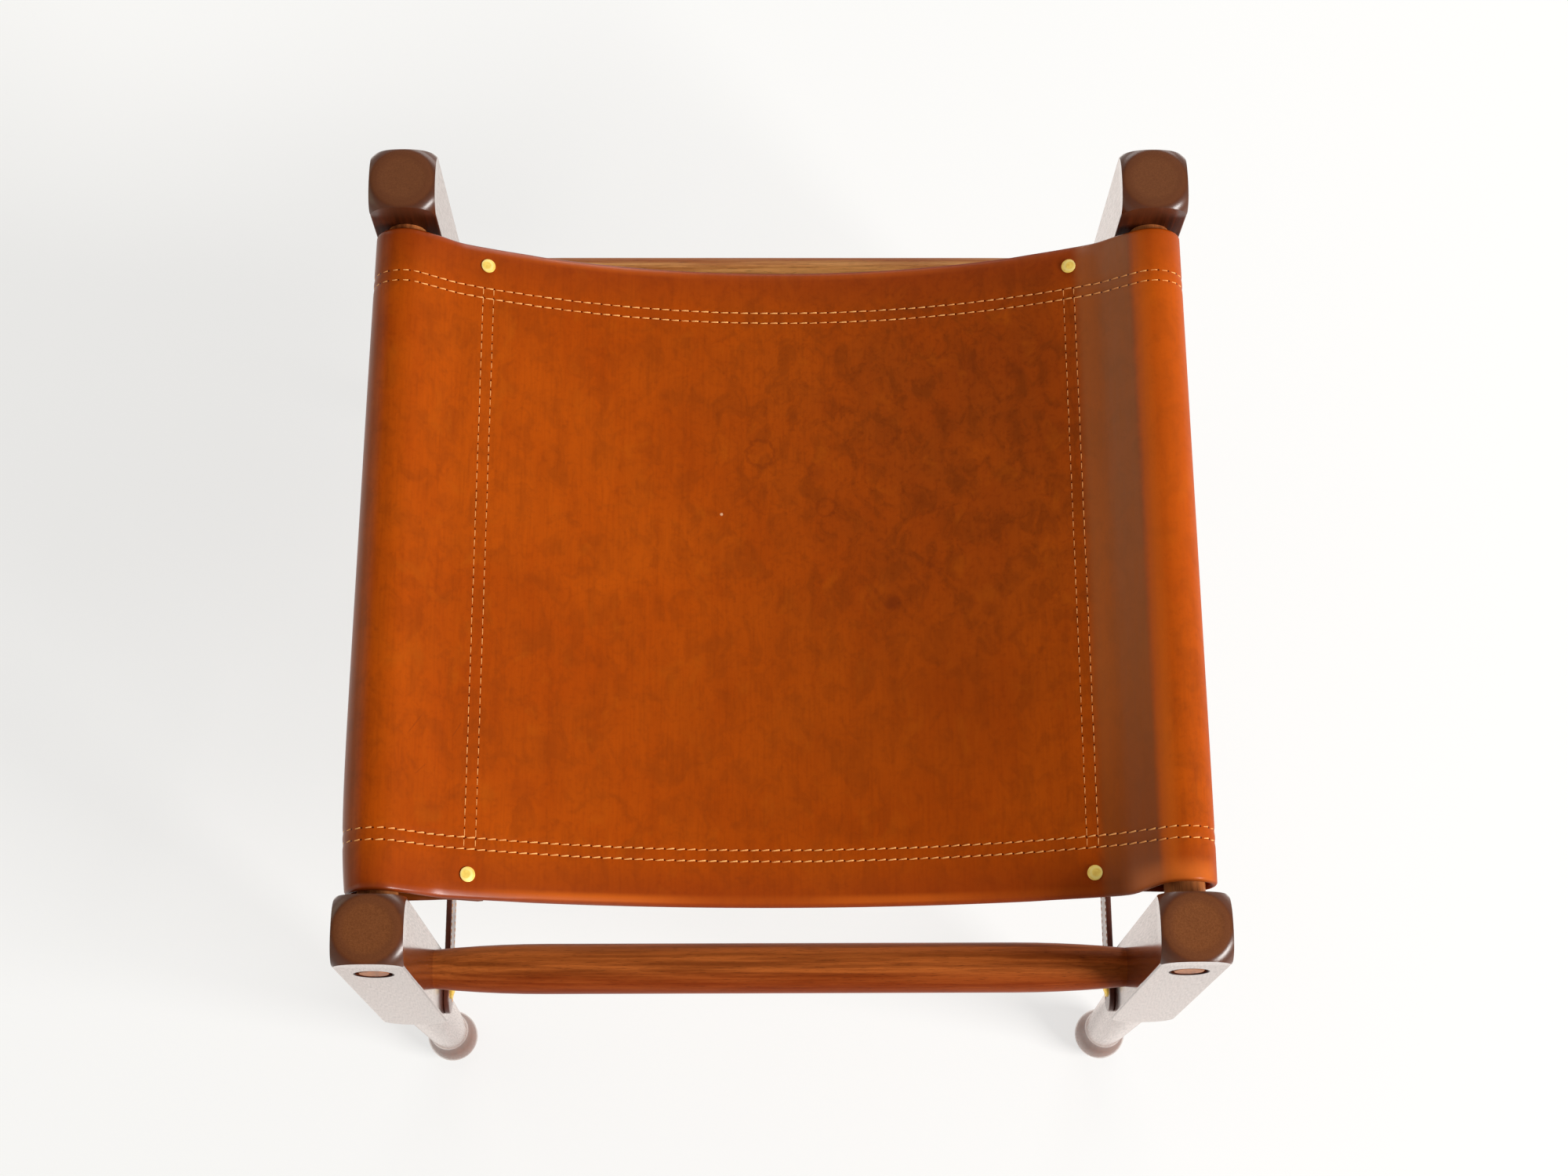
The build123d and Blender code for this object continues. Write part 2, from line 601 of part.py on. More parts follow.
front_left = Pos(-leg_center_x, -leg_center_y, 0) * leg()
rail = Pos(leg_center_x, 0, RAIL_Z) * side_rail()
bar = Pos(0, leg_center_y - STRETCHER_INSET, STRETCHER_Z) * stretcher()
nodes = {
    "leg_front_left": front_left,
    "leg_front_right": mirror(front_left, Plane.YZ),
    "leg_back_left": mirror(front_left, Plane.XZ),
    "leg_back_right": mirror(mirror(front_left, Plane.XZ), Plane.YZ),
    "stretcher_front": mirror(bar, Plane.XZ),
    "stretcher_back": bar,
    "side_rail_left": mirror(rail, Plane.YZ),
    "side_rail_right": rail,
    "seat_sling": seat_sling(),
    "seat_rivets": group(at_rivets(seat_rivet())),
    "seat_rivet_burrs": group(at_rivets(rivet_burr())),
    "strap_screws": group(at_strap_ends(strap_screw(), WASHER_THICKNESS)),
    "strap_washers": group(at_strap_ends(strap_washer(), WASHER_THICKNESS / 2)),
}
for name, maker in (
    ("strap_tongue", strap_tongue),
    ("strap_heel", strap_heel),
    ("buckle_frame", buckle_frame),
    ("buckle_prong", buckle_prong),
    ("strap_keeper", strap_keeper),
):
    left_piece = maker()
    nodes[name + "_left"] = left_piece
    nodes[name + "_right"] = mirror(left_piece, Plane.YZ)

os.makedirs("parts", exist_ok=True)
for name, piece in nodes.items():
    export_step(piece, f"parts/{name}.step")
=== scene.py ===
import math
import random

import bmesh
import bpy
import numpy as np
from mathutils import Matrix, Vector


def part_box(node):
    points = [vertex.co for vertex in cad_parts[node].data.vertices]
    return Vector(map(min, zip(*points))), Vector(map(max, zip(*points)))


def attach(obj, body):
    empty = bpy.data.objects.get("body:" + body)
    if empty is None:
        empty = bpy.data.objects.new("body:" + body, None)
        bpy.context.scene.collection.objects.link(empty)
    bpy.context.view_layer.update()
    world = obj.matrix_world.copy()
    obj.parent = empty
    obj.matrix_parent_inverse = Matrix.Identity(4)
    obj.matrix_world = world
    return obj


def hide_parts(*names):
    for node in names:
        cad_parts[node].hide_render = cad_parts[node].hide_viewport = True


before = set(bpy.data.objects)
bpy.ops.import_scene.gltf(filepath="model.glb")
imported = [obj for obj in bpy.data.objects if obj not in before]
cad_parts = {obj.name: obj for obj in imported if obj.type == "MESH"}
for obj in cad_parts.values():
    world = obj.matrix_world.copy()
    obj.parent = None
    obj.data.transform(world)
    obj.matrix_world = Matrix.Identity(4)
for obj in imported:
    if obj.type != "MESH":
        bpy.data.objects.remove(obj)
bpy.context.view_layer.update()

SIDES = ("left", "right")

# Where the photograph was taken from, and its lens
PHOTO_WIDTH = 2000
FOCAL_LENGTH_PIXELS = 3207.62
SENSOR_WIDTH = 36.0
CAMERA_PLACE = Vector((-0.016016, -0.502868, 1.890333))
CAMERA_FORWARD = Vector((0.01174025, 0.31036688, -0.95054435))
CAMERA_UP = Vector((0.001369, 0.95060399, 0.31040326))

# Leather of the seat
LEATHER = 0.003
HEM_WIDTH = 0.042
HEM_GAP = 0.00005
SKIVED_HEM = 0.00125
SKIVE_START = 0.150
SKIVE_RUN = 0.020
SLEEVE_CLEARANCE = 0.0004
SAG_RADIUS = 0.480
SHOULDER_BLEND_RADIUS = 0.060
SHOULDER_ANGLE = math.radians(36)
SHOULDER_RUN = 0.022
FLAP_START_X = 0.192
FLAP_END_X = 0.178
FLAP_BLEND_RADIUS = 0.020
FLAP_SINK = 0.0002
FLAP_DROP = 0.0003
FLAP_HEM_DROP = 0.0030
FLAP_HEM_START = 0.160
FLAP_HEM_RUN = 0.012
RIVET_X = 0.188
RIVET_Y = 0.199

# Cut edges of the flaps and hems: the length they are eased over, and the share of the thickness that is left
CUT_ROUNDING = 0.0012
CUT_THICKNESS = 0.55
HEM_CUT_ROUNDING = 0.0008
HEM_CUT_STEPS = ((0.0003, 0.9), (0.0, 0.6))

# Points of the seat's mesh: their step along the leather, and the depths between which they lie closer
SEAT_STEP = 0.0035
FINE_START = 0.165
FINE_END = 0.196

# Wear of the seat: how far the leather has moved, where that starts and the length it grows over
WORN_SAG = 0.003
WORN_REACH = 0.205
ROLLED_EDGE = 0.0018
ROLLED_START = 0.2035
ROLLED_RUN = 0.010
ROLLED_FADE = 0.025
DRAWN_IN = 0.0020
DRAWN_START = 0.186
DRAWN_RUN = 0.020
SHORT_SLEEVE = 0.0042
SHORT_SLEEVE_START = 0.212
SHORT_SLEEVE_RUN = 0.030
SLEEVE_SLACK = {-1: 0.0050, 1: 0.0004}
SLACK_REACH = 0.017
RIVET_DIMPLE = 0.0006
RIVET_DIMPLE_REACH = 0.006
RIVET_FROM_SEAM = 0.004

# Stitches of the seat: two rows along each hem and two along each seam
HEM_ROWS = (0.1765, 0.1835)
HEM_PITCH = 0.0065
HEM_THREAD = 0.00046
HEM_GROOVE = 0.00035
HEM_GROOVE_REACH = 0.0016
FRONT_SLANT = 0.0004
BACK_SLANT = 0.0001
SEAM_ROWS = (0.1840, 0.1905)
SEAM_PITCH = 0.00633
SEAM_THREAD = 0.00032
SEAM_GROOVE = 0.0003
SEAM_GROOVE_REACH = 0.0015
SEAM_SLANT = 0.00005

# One stitch, from hole to hole: share of its length, and swell and lift in radii, of each ring of its skin
STITCH_RINGS = (
    (0.0, 0.3, -1.5), (0.1, 0.6, -0.4), (0.4, 0.8, 0.1), (0.75, 1.0, 0.2), (0.93, 1.0, -0.1), (1.0, 0.5, -1.5))
STITCH_SIDES = 6
STITCH_FLATNESS = 0.85
STITCH_INSET = 0.00035
STITCH_STRAY = 0.00012
PROBE = 0.001

# Strap braces
STRAP_WIDTH = 0.024
STRAP_THICKNESS = 0.0036
STRAP_END_INSET = 0.003
STRAP_END_ROUNDING = 0.011
STRAP_EDGE = 0.0007
HOLE_LENGTH = 0.014
HOLE_WIDTH = 0.0044
HOLE_PITCH = 0.020
HOLES_EACH_SIDE = 2
PRONG_HOLE_SHIFT = 0.0016
BUCKLE_REACH = 0.030
BUCKLE_GAP = 0.0003
CLIMB_START_FROM_TIP = 0.003
CREST_BEFORE_BAR = 0.0045
CREST_AFTER_BAR = 0.0055
DESCENT_LENGTH = 0.0125
TAIL_END = 0.062
TAIL_GAP = 0.0001
LOOP_INNER_RADIUS = 0.0022
LOOP_OUTER_RADIUS = 0.004
LOOP_LENGTH = 0.009
LOOP_END_ROUNDING = 0.002
FOLD_RADIUS = 0.0006
FOLD_END = 0.042
FOLD_TAPER = 0.006
PRONG_SLOT_WIDTH = 0.005
PRONG_SLOT_LENGTH = 0.019
KEEPER_PLACE = 0.040
KEEPER_LENGTH = 0.012
KEEPER_THICKNESS = 0.0016
KEEPER_GAP = 0.0004
KEEPER_CORNER = 0.0014
KEEPER_BUTT = 0.0002
KEEPER_ARC_STEP = 0.0006
KEEPER_RUN_STEP = 0.003
STRAP_ARC_STEP = 0.0012
STRAP_RUN_STEP = 0.012
STRAP_PITCH = 0.0042
STRAP_THREAD = 0.0003
STRAP_SLANT = 0.0001
STRAP_ROW_INSET = 0.0026
STRAP_ROW_END = 0.008
LOOP_ROW_END = 0.004
SHARP_ANGLE = math.radians(50)

# Stage: half the floor's width, then each lamp's name, place, target, width, height, power and colour
FLOOR_HALF_WIDTH = 6.0
LAMPS = (
    ("key", (3.0, -1.65, 2.75), (0, 0, 0.35), 1.8, 1.0, 172, (1.0, 0.985, 0.96)),
    ("side", (-2.2, 0.7, 1.25), (0, 0.1, 0.4), 2.4, 1.2, 7.5, (1.0, 0.92, 0.66)),
    ("back", (0.3, 2.6, 1.1), (0, 0.2, 0.3), 2.4, 1.0, 26, (1.0, 0.99, 0.97)),
)

# Places read from the frame
rail_low, rail_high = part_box("side_rail_right")
rail_x = (rail_low.x + rail_high.x) / 2
rail_z = (rail_low.z + rail_high.z) / 2
rail_radius = (rail_high.x - rail_low.x) / 2
seat_low, seat_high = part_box("seat_sling")
seat_half_depth = seat_high.y
loop_radius = rail_radius + SLEEVE_CLEARANCE + LEATHER / 2
leg_low, leg_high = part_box("leg_back_right")
leg_x = (leg_low.x + leg_high.x) / 2
leg_y = (leg_low.y + leg_high.y) / 2
leg_top = leg_high.z
bar_low, bar_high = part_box("stretcher_back")
bar_y = (bar_low.y + bar_high.y) / 2
bar_z = (bar_low.z + bar_high.z) / 2
strap_low, strap_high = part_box("strap_heel_right")
strap_z = (strap_low.z + strap_high.z) / 2
strap_inner_x = leg_low.x - STRAP_THICKNESS
strap_end = leg_high.y - STRAP_END_INSET
strap_middle = STRAP_THICKNESS / 2


def colour(red, green, blue):
    """A screen colour of 0 to 255 as the linear colour that shaders take."""
    parts = (red, green, blue)
    return (*(((c / 255 + 0.055) / 1.055) ** 2.4 if c > 10 else c / 3294.6 for c in parts), 1)


# Shader expressions
class Value:
    """A shader socket that takes part in expressions."""

    def __init__(self, paint, socket):
        self.paint = paint
        self.socket = socket

    def math(self, operation, *others):
        return self.paint.node("ShaderNodeMath", {"operation": operation}, dict(enumerate((self, *others))))

    def __add__(self, other):
        return self.math("ADD", other)

    def __sub__(self, other):
        return self.math("SUBTRACT", other)

    def __rsub__(self, other):
        return self.paint.node("ShaderNodeMath", {"operation": "SUBTRACT"}, {0: other, 1: self})

    def __mul__(self, other):
        return self.math("MULTIPLY", other)

    def __abs__(self):
        return self.math("ABSOLUTE")

    __radd__ = __add__
    __rmul__ = __mul__

    def rise(self, low, high):
        """0 below low, 1 above high and smooth between them."""
        return self.paint.node(
            "ShaderNodeMapRange", {"interpolation_type": "SMOOTHSTEP"},
            {"Value": self, "From Min": low, "From Max": high})


class Paint:
    """The node tree of one finish."""

    def __init__(self, owner):
        owner.use_nodes = True
        self.owner = owner
        self.tree = owner.node_tree
        self.tree.nodes.clear()

    def node(self, kind, settings=None, inputs=None, output=0):
        """Adds a node: its settings first, then the values or links of its sockets."""
        made = self.tree.nodes.new(kind)
        for name, value in (settings or {}).items():
            setattr(made, name, value)
        for name, value in (inputs or {}).items():
            if isinstance(value, Value):
                self.tree.links.new(value.socket, made.inputs[name])
            else:
                made.inputs[name].default_value = value
        return Value(self, made.outputs[output]) if len(made.outputs) else made

    def mix(self, share, first, second):
        return self.node("ShaderNodeMix", {"data_type": "RGBA"}, {0: share, 6: first, 7: second}, 2)

    def over(self, base, *layers):
        """Lays colours over a base, in order; a layer is its share and its screen colour."""
        for share, tone in layers:
            base = self.mix(share, base, colour(*tone))
        return base

    def stretch(self, place, factors):
        return self.node("ShaderNodeVectorMath", {"operation": "MULTIPLY"}, {0: place, 1: factors})

    def noise(self, place, scale, detail=2.0, roughness=0.5, distortion=0.0):
        return self.node("ShaderNodeTexNoise", {}, {
            "Vector": place, "Scale": scale, "Detail": detail,
            "Roughness": roughness, "Distortion": distortion})

    def axes(self, place):
        split = self.node("ShaderNodeSeparateXYZ", {}, {0: place})
        return split, Value(self, split.socket.node.outputs[1]), Value(self, split.socket.node.outputs[2])

    def distance(self, across, along):
        return (across * across + along * along).math("SQRT")

    def bump(self, height, strength, reach):
        return self.node("ShaderNodeBump", {}, {"Height": height, "Strength": strength, "Distance": reach})

    def finish(self, surface):
        is_world = isinstance(self.owner, bpy.types.World)
        self.node("ShaderNodeOutputWorld" if is_world else "ShaderNodeOutputMaterial", {}, {"Surface": surface})
        return self.owner


def new_paint(name):
    return Paint(bpy.data.materials.new(name))


# Finishes
def leather_grain(paint, place):
    """Fine pebbled grain of the hide, for bump."""
    pebbles = paint.node("ShaderNodeTexVoronoi", {"feature": "F1"}, {"Vector": place, "Scale": 900.0})
    return pebbles * 0.5 + paint.noise(place, 350.0, 4.0, 0.6) * 0.9


def tanned(paint, hide, x, y, streaks, mottle):
    """Tones of the hide itself, darker where it has soaked up oil and where people sat."""
    broad_streaks = paint.noise(paint.stretch(hide, (1, 0.15, 0)), 60.0, 3.0, 0.55)
    cloud = paint.noise(paint.stretch(hide, (1, 1, 0)), 9.0, 3.0, 0.5, 0.6)
    patches = paint.noise(paint.stretch(hide, (1, 0.7, 0)), 75.0, 5.0, 0.62, 0.8)
    flecks = paint.noise(paint.stretch(hide, (1, 1, 0)), 260.0, 4.0, 0.65, 0.5)
    lights = paint.noise(paint.stretch(hide, (1, 0.8, 0)), 48.0, 4.0, 0.6, 0.6)
    oiled = 1 - paint.distance((x - 125) * 0.0052, (y - 110) * 0.0048).rise(0.1, 1.3)
    sat_on = 1 - paint.distance((x - 60) * 0.006, (y + 95) * 0.009).rise(0.1, 1.3)
    return paint.over(
        paint.mix(cloud.rise(0.3, 0.7), colour(169, 68, 4), colour(182, 78, 6)),
        (mottle.rise(0.35, 0.75) * 0.22, (156, 72, 8)),
        (streaks.rise(0.42, 0.72) * 0.18, (120, 44, 2)),
        (broad_streaks.rise(0.45, 0.8) * 0.25, (140, 48, 2)),
        (oiled * (0.24 + mottle * 0.4), (116, 52, 14)),
        (patches.rise(0.42, 0.66) * (0.24 + oiled * 0.26), (108, 46, 8)),
        (flecks.rise(0.48, 0.68) * (0.14 + oiled * 0.16), (106, 38, 4)),
        (lights.rise(0.56, 0.74) * 0.35, (178, 84, 10)),
        (sat_on * 0.28, (118, 48, 6)))


def painted_shoulder_light(paint, base, x, y):
    """Painted sheen, a greyer brown, on the rise up to the right rail; painted light on the top of that rise
    and on the rail's crest; painted shade with a sheen tint round the left rail.
    """
    slope = x.rise(194, 202) * (1 - x.rise(233, 239))
    # painted sheen: a greyer brown that stands in for the reflection on the rise to the right rail, darker
    # towards the front where the sheen is weaker
    strip = paint.mix(x.rise(205, 224), colour(154, 84, 32), colour(148, 80, 12))
    strip = paint.mix(y.rise(-190, -60), colour(124, 64, 14), strip)
    return paint.over(
        paint.mix(slope * 0.64, base, strip),
        # painted light where the leather turns up onto the right rail and faces away from the key light
        (x.rise(234, 240) * (1 - x.rise(242, 250)) * 0.5, (222, 108, 28)),
        # painted light on the crest of the right rail, stronger towards the back
        (x.rise(234, 252) * y.rise(-120, 30) * 0.36, (216, 94, 6)),
        # painted shade, tinted olive by a painted sheen, on the outer side of the left sleeve
        ((1 - x.rise(-272, -260)) * 0.5, (106, 64, 8)))


def edge_shade_and_highlight(paint, base, x, y):
    """Painted shade under the rails and on the lower rounding of the front and back edges; painted highlights,
    partly burnished wear, along the folds and on the front right corner.
    """
    # painted shade on the flaps under the rails
    under = abs(x).rise(loop_end * 1000 - 12, loop_end * 1000 + 6)
    # painted highlight along the front and back folds where they turn towards the light, partly burnished wear;
    # stronger on the left
    fold_band = abs(y).rise(205.5, 209.5) * (1 - abs(y).rise(210.8, 212.4)) * (1 - abs(x).rise(170, 230))
    highlight_and_wear = 0.12 + (1 - abs(x + 115).rise(10, 90)) * 0.34 + (1 - abs(x - 70).rise(10, 70)) * 0.2
    # painted highlight on the rolled front edge of the right sleeve
    corner = x.rise(206, 226) * (1 - x.rise(262, 276)) * (1 - y.rise(-210, -194))
    return paint.over(
        base,
        (under * 0.5, (98, 42, 12)),
        (fold_band * highlight_and_wear * (1 - y.rise(-10, 10) * 0.5), (238, 118, 34)),
        (corner * 0.45, (240, 126, 46)),
        # painted shade on the lower rounding of the front and back edges
        (abs(y).rise(212.0, 213.2) * 0.4, (108, 42, 14)))


def seat_leather():
    """Cognac saddle leather, polished by use; places are in millimetres along the hide, from its middle."""
    paint = new_paint("seat_leather")
    hide = paint.node("ShaderNodeAttribute", {"attribute_name": "hide"}, {}, "Vector")
    u, v, side = paint.axes(hide)
    x = u * 1000
    y = v * 1000
    streaks = paint.noise(paint.stretch(hide, (1, 0.06, 0)), 520.0, 4.0, 0.6)
    mottle = paint.noise(paint.stretch(hide, (1, 1, 0)), 22.0, 5.0, 0.6, 0.4)
    edge = abs(y).rise(176, 212)
    holes = stitch_holes(paint, x, y)
    base = paint.over(tanned(paint, hide, x, y, streaks, mottle), (edge * 0.5, (136, 50, 14)))
    base = edge_shade_and_highlight(paint, painted_shoulder_light(paint, base, x, y), x, y)
    # dark awl holes: painted shade for holes the mesh doesn't have
    base = paint.over(marks(paint, base, x, y), (holes * 0.92, (70, 22, 6)))
    flesh = paint.mix(mottle, colour(150, 96, 58), colour(122, 74, 44))
    is_grain = side.rise(-0.2, 0.2)
    is_cut = 1 - abs(side).rise(0.2, 0.8)
    base = paint.over(paint.mix(is_grain, flesh, base), (is_cut, (84, 40, 22)))
    height = leather_grain(paint, hide) * 0.35 + streaks * 0.12 - holes * 3
    slick = x.rise(193, 203) * (1 - x.rise(233, 240) * 0.65) * (0.36 + y.rise(-170, 60) * 0.26 + edge * 0.3)
    slick = slick * (0.62 + streaks * 0.6)
    folds = abs(y).rise(208, 212) * (1 - x.rise(-130, -40) * 0.75) * 0.8
    left_rail = (1 - x.rise(-276, -256)) * 0.8
    polished = slick.math("MAXIMUM", folds).math("MAXIMUM", left_rail)
    surface = paint.node("ShaderNodeBsdfPrincipled", {}, {
        "Base Color": base, "Roughness": 0.5 + mottle * 0.2, "Specular IOR Level": 0.03,
        "Coat Weight": (0.03 + polished * 0.85) * is_grain, "Coat Roughness": 0.28,
        "Normal": paint.bump(height, 0.25, 0.0004)})
    return paint.finish(surface)


def marks(paint, base, x, y):
    """Stains and scratches on the top of the seat, in millimetres from its middle."""
    wobble = paint.noise(paint.node("ShaderNodeCombineXYZ", {}, {0: x, 1: y}), 0.25, 3.0) * 5 - 2.5
    ring = paint.distance(x + 12, y - 85) + wobble * 1.2
    small_ring = paint.distance(x - 30, y - 48) + wobble
    layers = [
        ((1 - abs(ring - 9).rise(0.3, 1.8)) * 0.3, (112, 42, 8)),
        ((1 - abs(small_ring - 6).rise(0.3, 1.6)) * 0.22, (104, 38, 6)),
    ]
    for spot_x, spot_y, radius, depth in (
            (72, -18, 6.5, 0.5), (97, 7, 4.5, 0.15), (23, 71, 8, 0.22), (9, 112, 5, 0.12),
            (125, 137, 14, 0.16), (69, 92, 12, 0.14), (34, 116, 10, 0.14), (154, 133, 9, 0.16),
            (-160, -144, 9, 0.16), (55, -131, 10, 0.1), (24, 191, 16, 0.1)):
        reach = paint.distance(x - spot_x, y - spot_y) + wobble * 0.6
        layers.append(((1 - reach.rise(radius * 0.3, radius * 1.15)) * depth, (92, 34, 10)))
    speck = 1 - paint.distance(x + 37, y - 43).rise(0.6, 1.2)
    layers.append((speck * 0.8, (235, 190, 150)))
    smears = ((60, 30, 95, -12, 2.2), (50, 5, 72, -25, 2.0), (80, 18, 108, -4, 2.4), (46, 60, 70, 35, 2.6))
    layers += [(stroke(paint, x, y, *line) * 0.14, (84, 34, 10)) for line in smears]
    scratches = ((-236, -118, -226, -104, 0.5), (-230, -142, -222, -134, 0.4), (-206, -116, -200, -106, 0.4))
    layers += [(stroke(paint, x, y, *line) * 0.35, (110, 44, 12)) for line in scratches]
    return paint.over(base, *layers)


def stroke(paint, x, y, x0, y0, x1, y1, width):
    """1 on a line from one point to another, and soft at its sides and ends."""
    length = math.hypot(x1 - x0, y1 - y0)
    ax, ay = (x1 - x0) / length, (y1 - y0) / length
    along = (x - x0) * ax + (y - y0) * ay
    across = (x - x0) * ay - (y - y0) * ax
    ends = abs(along - length / 2).rise(length * 0.3, length * 0.55)
    return (1 - abs(across).rise(width * 0.3, width)) * (1 - ends)


def stitch_holes(paint, x, y):
    """1 in the awl holes between the stitches of the hems and seams."""
    along_hem = abs((x * (0.001 / HEM_PITCH) + 0.5).math("FRACT") - 0.5) * (HEM_PITCH * 1000)
    along_seam = abs((y * (0.001 / SEAM_PITCH) + 0.5).math("FRACT") - 0.5) * (SEAM_PITCH * 1000)
    holes = None
    for row in HEM_ROWS:
        hole = 1 - paint.distance(along_hem, abs(y) - row * 1000).rise(0.35, 0.8)
        holes = hole if holes is None else holes.math("MAXIMUM", hole)
    within = 1 - abs(y).rise(HEM_ROWS[1] * 1000, HEM_ROWS[1] * 1000 + 0.5)
    for place in seam_distances:
        hole = 1 - paint.distance(along_seam, abs(x) - place * 1000).rise(0.3, 0.7)
        holes = holes.math("MAXIMUM", hole * within)
    return holes


def thread():
    """Waxed linen thread, two plies twisted."""
    paint = new_paint("thread")
    place = paint.node("ShaderNodeTexCoord", {}, {}, "Object")
    wear = paint.noise(place, 160.0, 3.0)
    x, y, _ = paint.axes(place)
    inner = 1 - abs(y).rise(HEM_ROWS[0] - 0.001, HEM_ROWS[0] - 0.0005)
    # darker towards the right and back: partly painted shade on the side away from the key light, partly oil
    # from the hide
    shade_and_oil = x.rise(-0.05, 0.19) * (1 - x.rise(0.215, 0.235)) * (0.3 + y.rise(-0.1, 0.18) * 0.12)
    base = paint.over(
        paint.mix(wear.rise(0.35, 0.7), colour(255, 188, 108), colour(240, 158, 80)),
        (inner * 0.2, (196, 104, 50)),
        (shade_and_oil, (176, 88, 34)))
    twist = paint.node(
        "ShaderNodeTexWave", {"bands_direction": "DIAGONAL"}, {"Vector": place, "Scale": 900.0})
    surface = paint.node("ShaderNodeBsdfPrincipled", {}, {
        "Base Color": base, "Roughness": 0.6, "Normal": paint.bump(twist, 0.4, 0.0001)})
    return paint.finish(surface)


def strap_leather():
    """Dark bridle leather with a waxed face."""
    paint = new_paint("strap_leather")
    place = paint.node("ShaderNodeTexCoord", {}, {}, "Object")
    mottle = paint.noise(place, 60.0, 5.0, 0.6)
    fibres = paint.noise(paint.stretch(place, (1, 0.15, 1)), 600.0, 3.0)
    base = paint.mix(mottle.rise(0.3, 0.7), colour(92, 42, 24), colour(70, 30, 18))
    base = paint.over(base, (fibres.rise(0.5, 0.8) * 0.3, (44, 20, 12)))
    body = paint.node("ShaderNodeBsdfPrincipled", {}, {
        "Base Color": base, "Roughness": 0.38 + mottle * 0.2,
        "Normal": paint.bump(leather_grain(paint, place), 0.25, 0.0003)})
    return paint.finish(lacquered(paint, body, 0.5, mottle))


def lacquered(paint, body, strength, pores, foot=0.0, painted_bore_shade=0.0):
    """Body under a thin clear finish, which mirrors its surroundings where it is seen edge on.

    At a foot it mirrors them from every side, and in the painted shade round a rail's bore it doesn't.
    """
    gloss = paint.node("ShaderNodeBsdfAnisotropic", {}, {"Color": (0.92, 0.85, 0.82, 1), "Roughness": 0.15})
    facing = paint.node("ShaderNodeLayerWeight", {}, {"Blend": 0.5}, "Facing")
    edge_on = facing.rise(0.63, 0.925).math("MAXIMUM", facing.rise(0.05, 0.95) * foot)
    share = edge_on * strength * (1 - pores.rise(0.40, 0.62) * 0.2) * (1 - painted_bore_shade)
    return paint.node("ShaderNodeMixShader", {}, {0: share, 1: body, 2: gloss})


def leg_ends(paint, base, place):
    """A leg's top with its end grain, polished crest and painted shade on its shoulder and the crown's edge,
    its paler foot, and painted shade in the gap round the rail's bore.

    Returns the colour, and how far each place is crest, foot and painted bore shade.
    """
    x, y, z = paint.axes(place)
    crest = z.rise(leg_top - 0.016, leg_top - 0.010) * (1 - z.rise(leg_top - 0.0012, leg_top - 0.0004)) * 0.9
    top = z.rise(leg_top - 0.0012, leg_top - 0.0002)
    shoulder = z.rise(leg_top - 0.020, leg_top - 0.004) * (1 - top)
    flecks = paint.noise(place, 1500.0, 4.0, 0.7)
    from_axis = paint.distance(abs(x) - leg_x, abs(y) - leg_y) * 1000
    crown = paint.over(
        paint.mix(flecks.rise(0.25, 0.75), colour(104, 59, 32), colour(134, 80, 46)),
        (y.rise(-0.05, 0.05) * 0.35, (92, 60, 46)),
        # painted shade towards the crown's edge, where the top rounds over
        (from_axis.rise(12, 17) * 0.5, (98, 56, 36)))
    # painted shade on the shoulder below the crown
    base = paint.mix(top, paint.over(base, (shoulder * 0.7, (92, 52, 32))), crown)
    foot = 1 - z.rise(0.030, 0.058)
    # painted shade in the gap round the rail's end on the outer faces, where the lacquer's reflection is also
    # turned off
    from_bore = paint.distance(abs(x) - leg_x, z - rail_z) * 1000
    outer_face = abs(y).rise(leg_high.y - 0.0008, leg_high.y - 0.0002)
    painted_bore_shade = from_bore.rise(10.5, 11.0) * (1 - from_bore.rise(11.6, 12.4)) * outer_face
    return paint.over(base, (foot * 0.4, (150, 100, 76)), (painted_bore_shade, (40, 16, 8))), crest, foot, painted_bore_shade


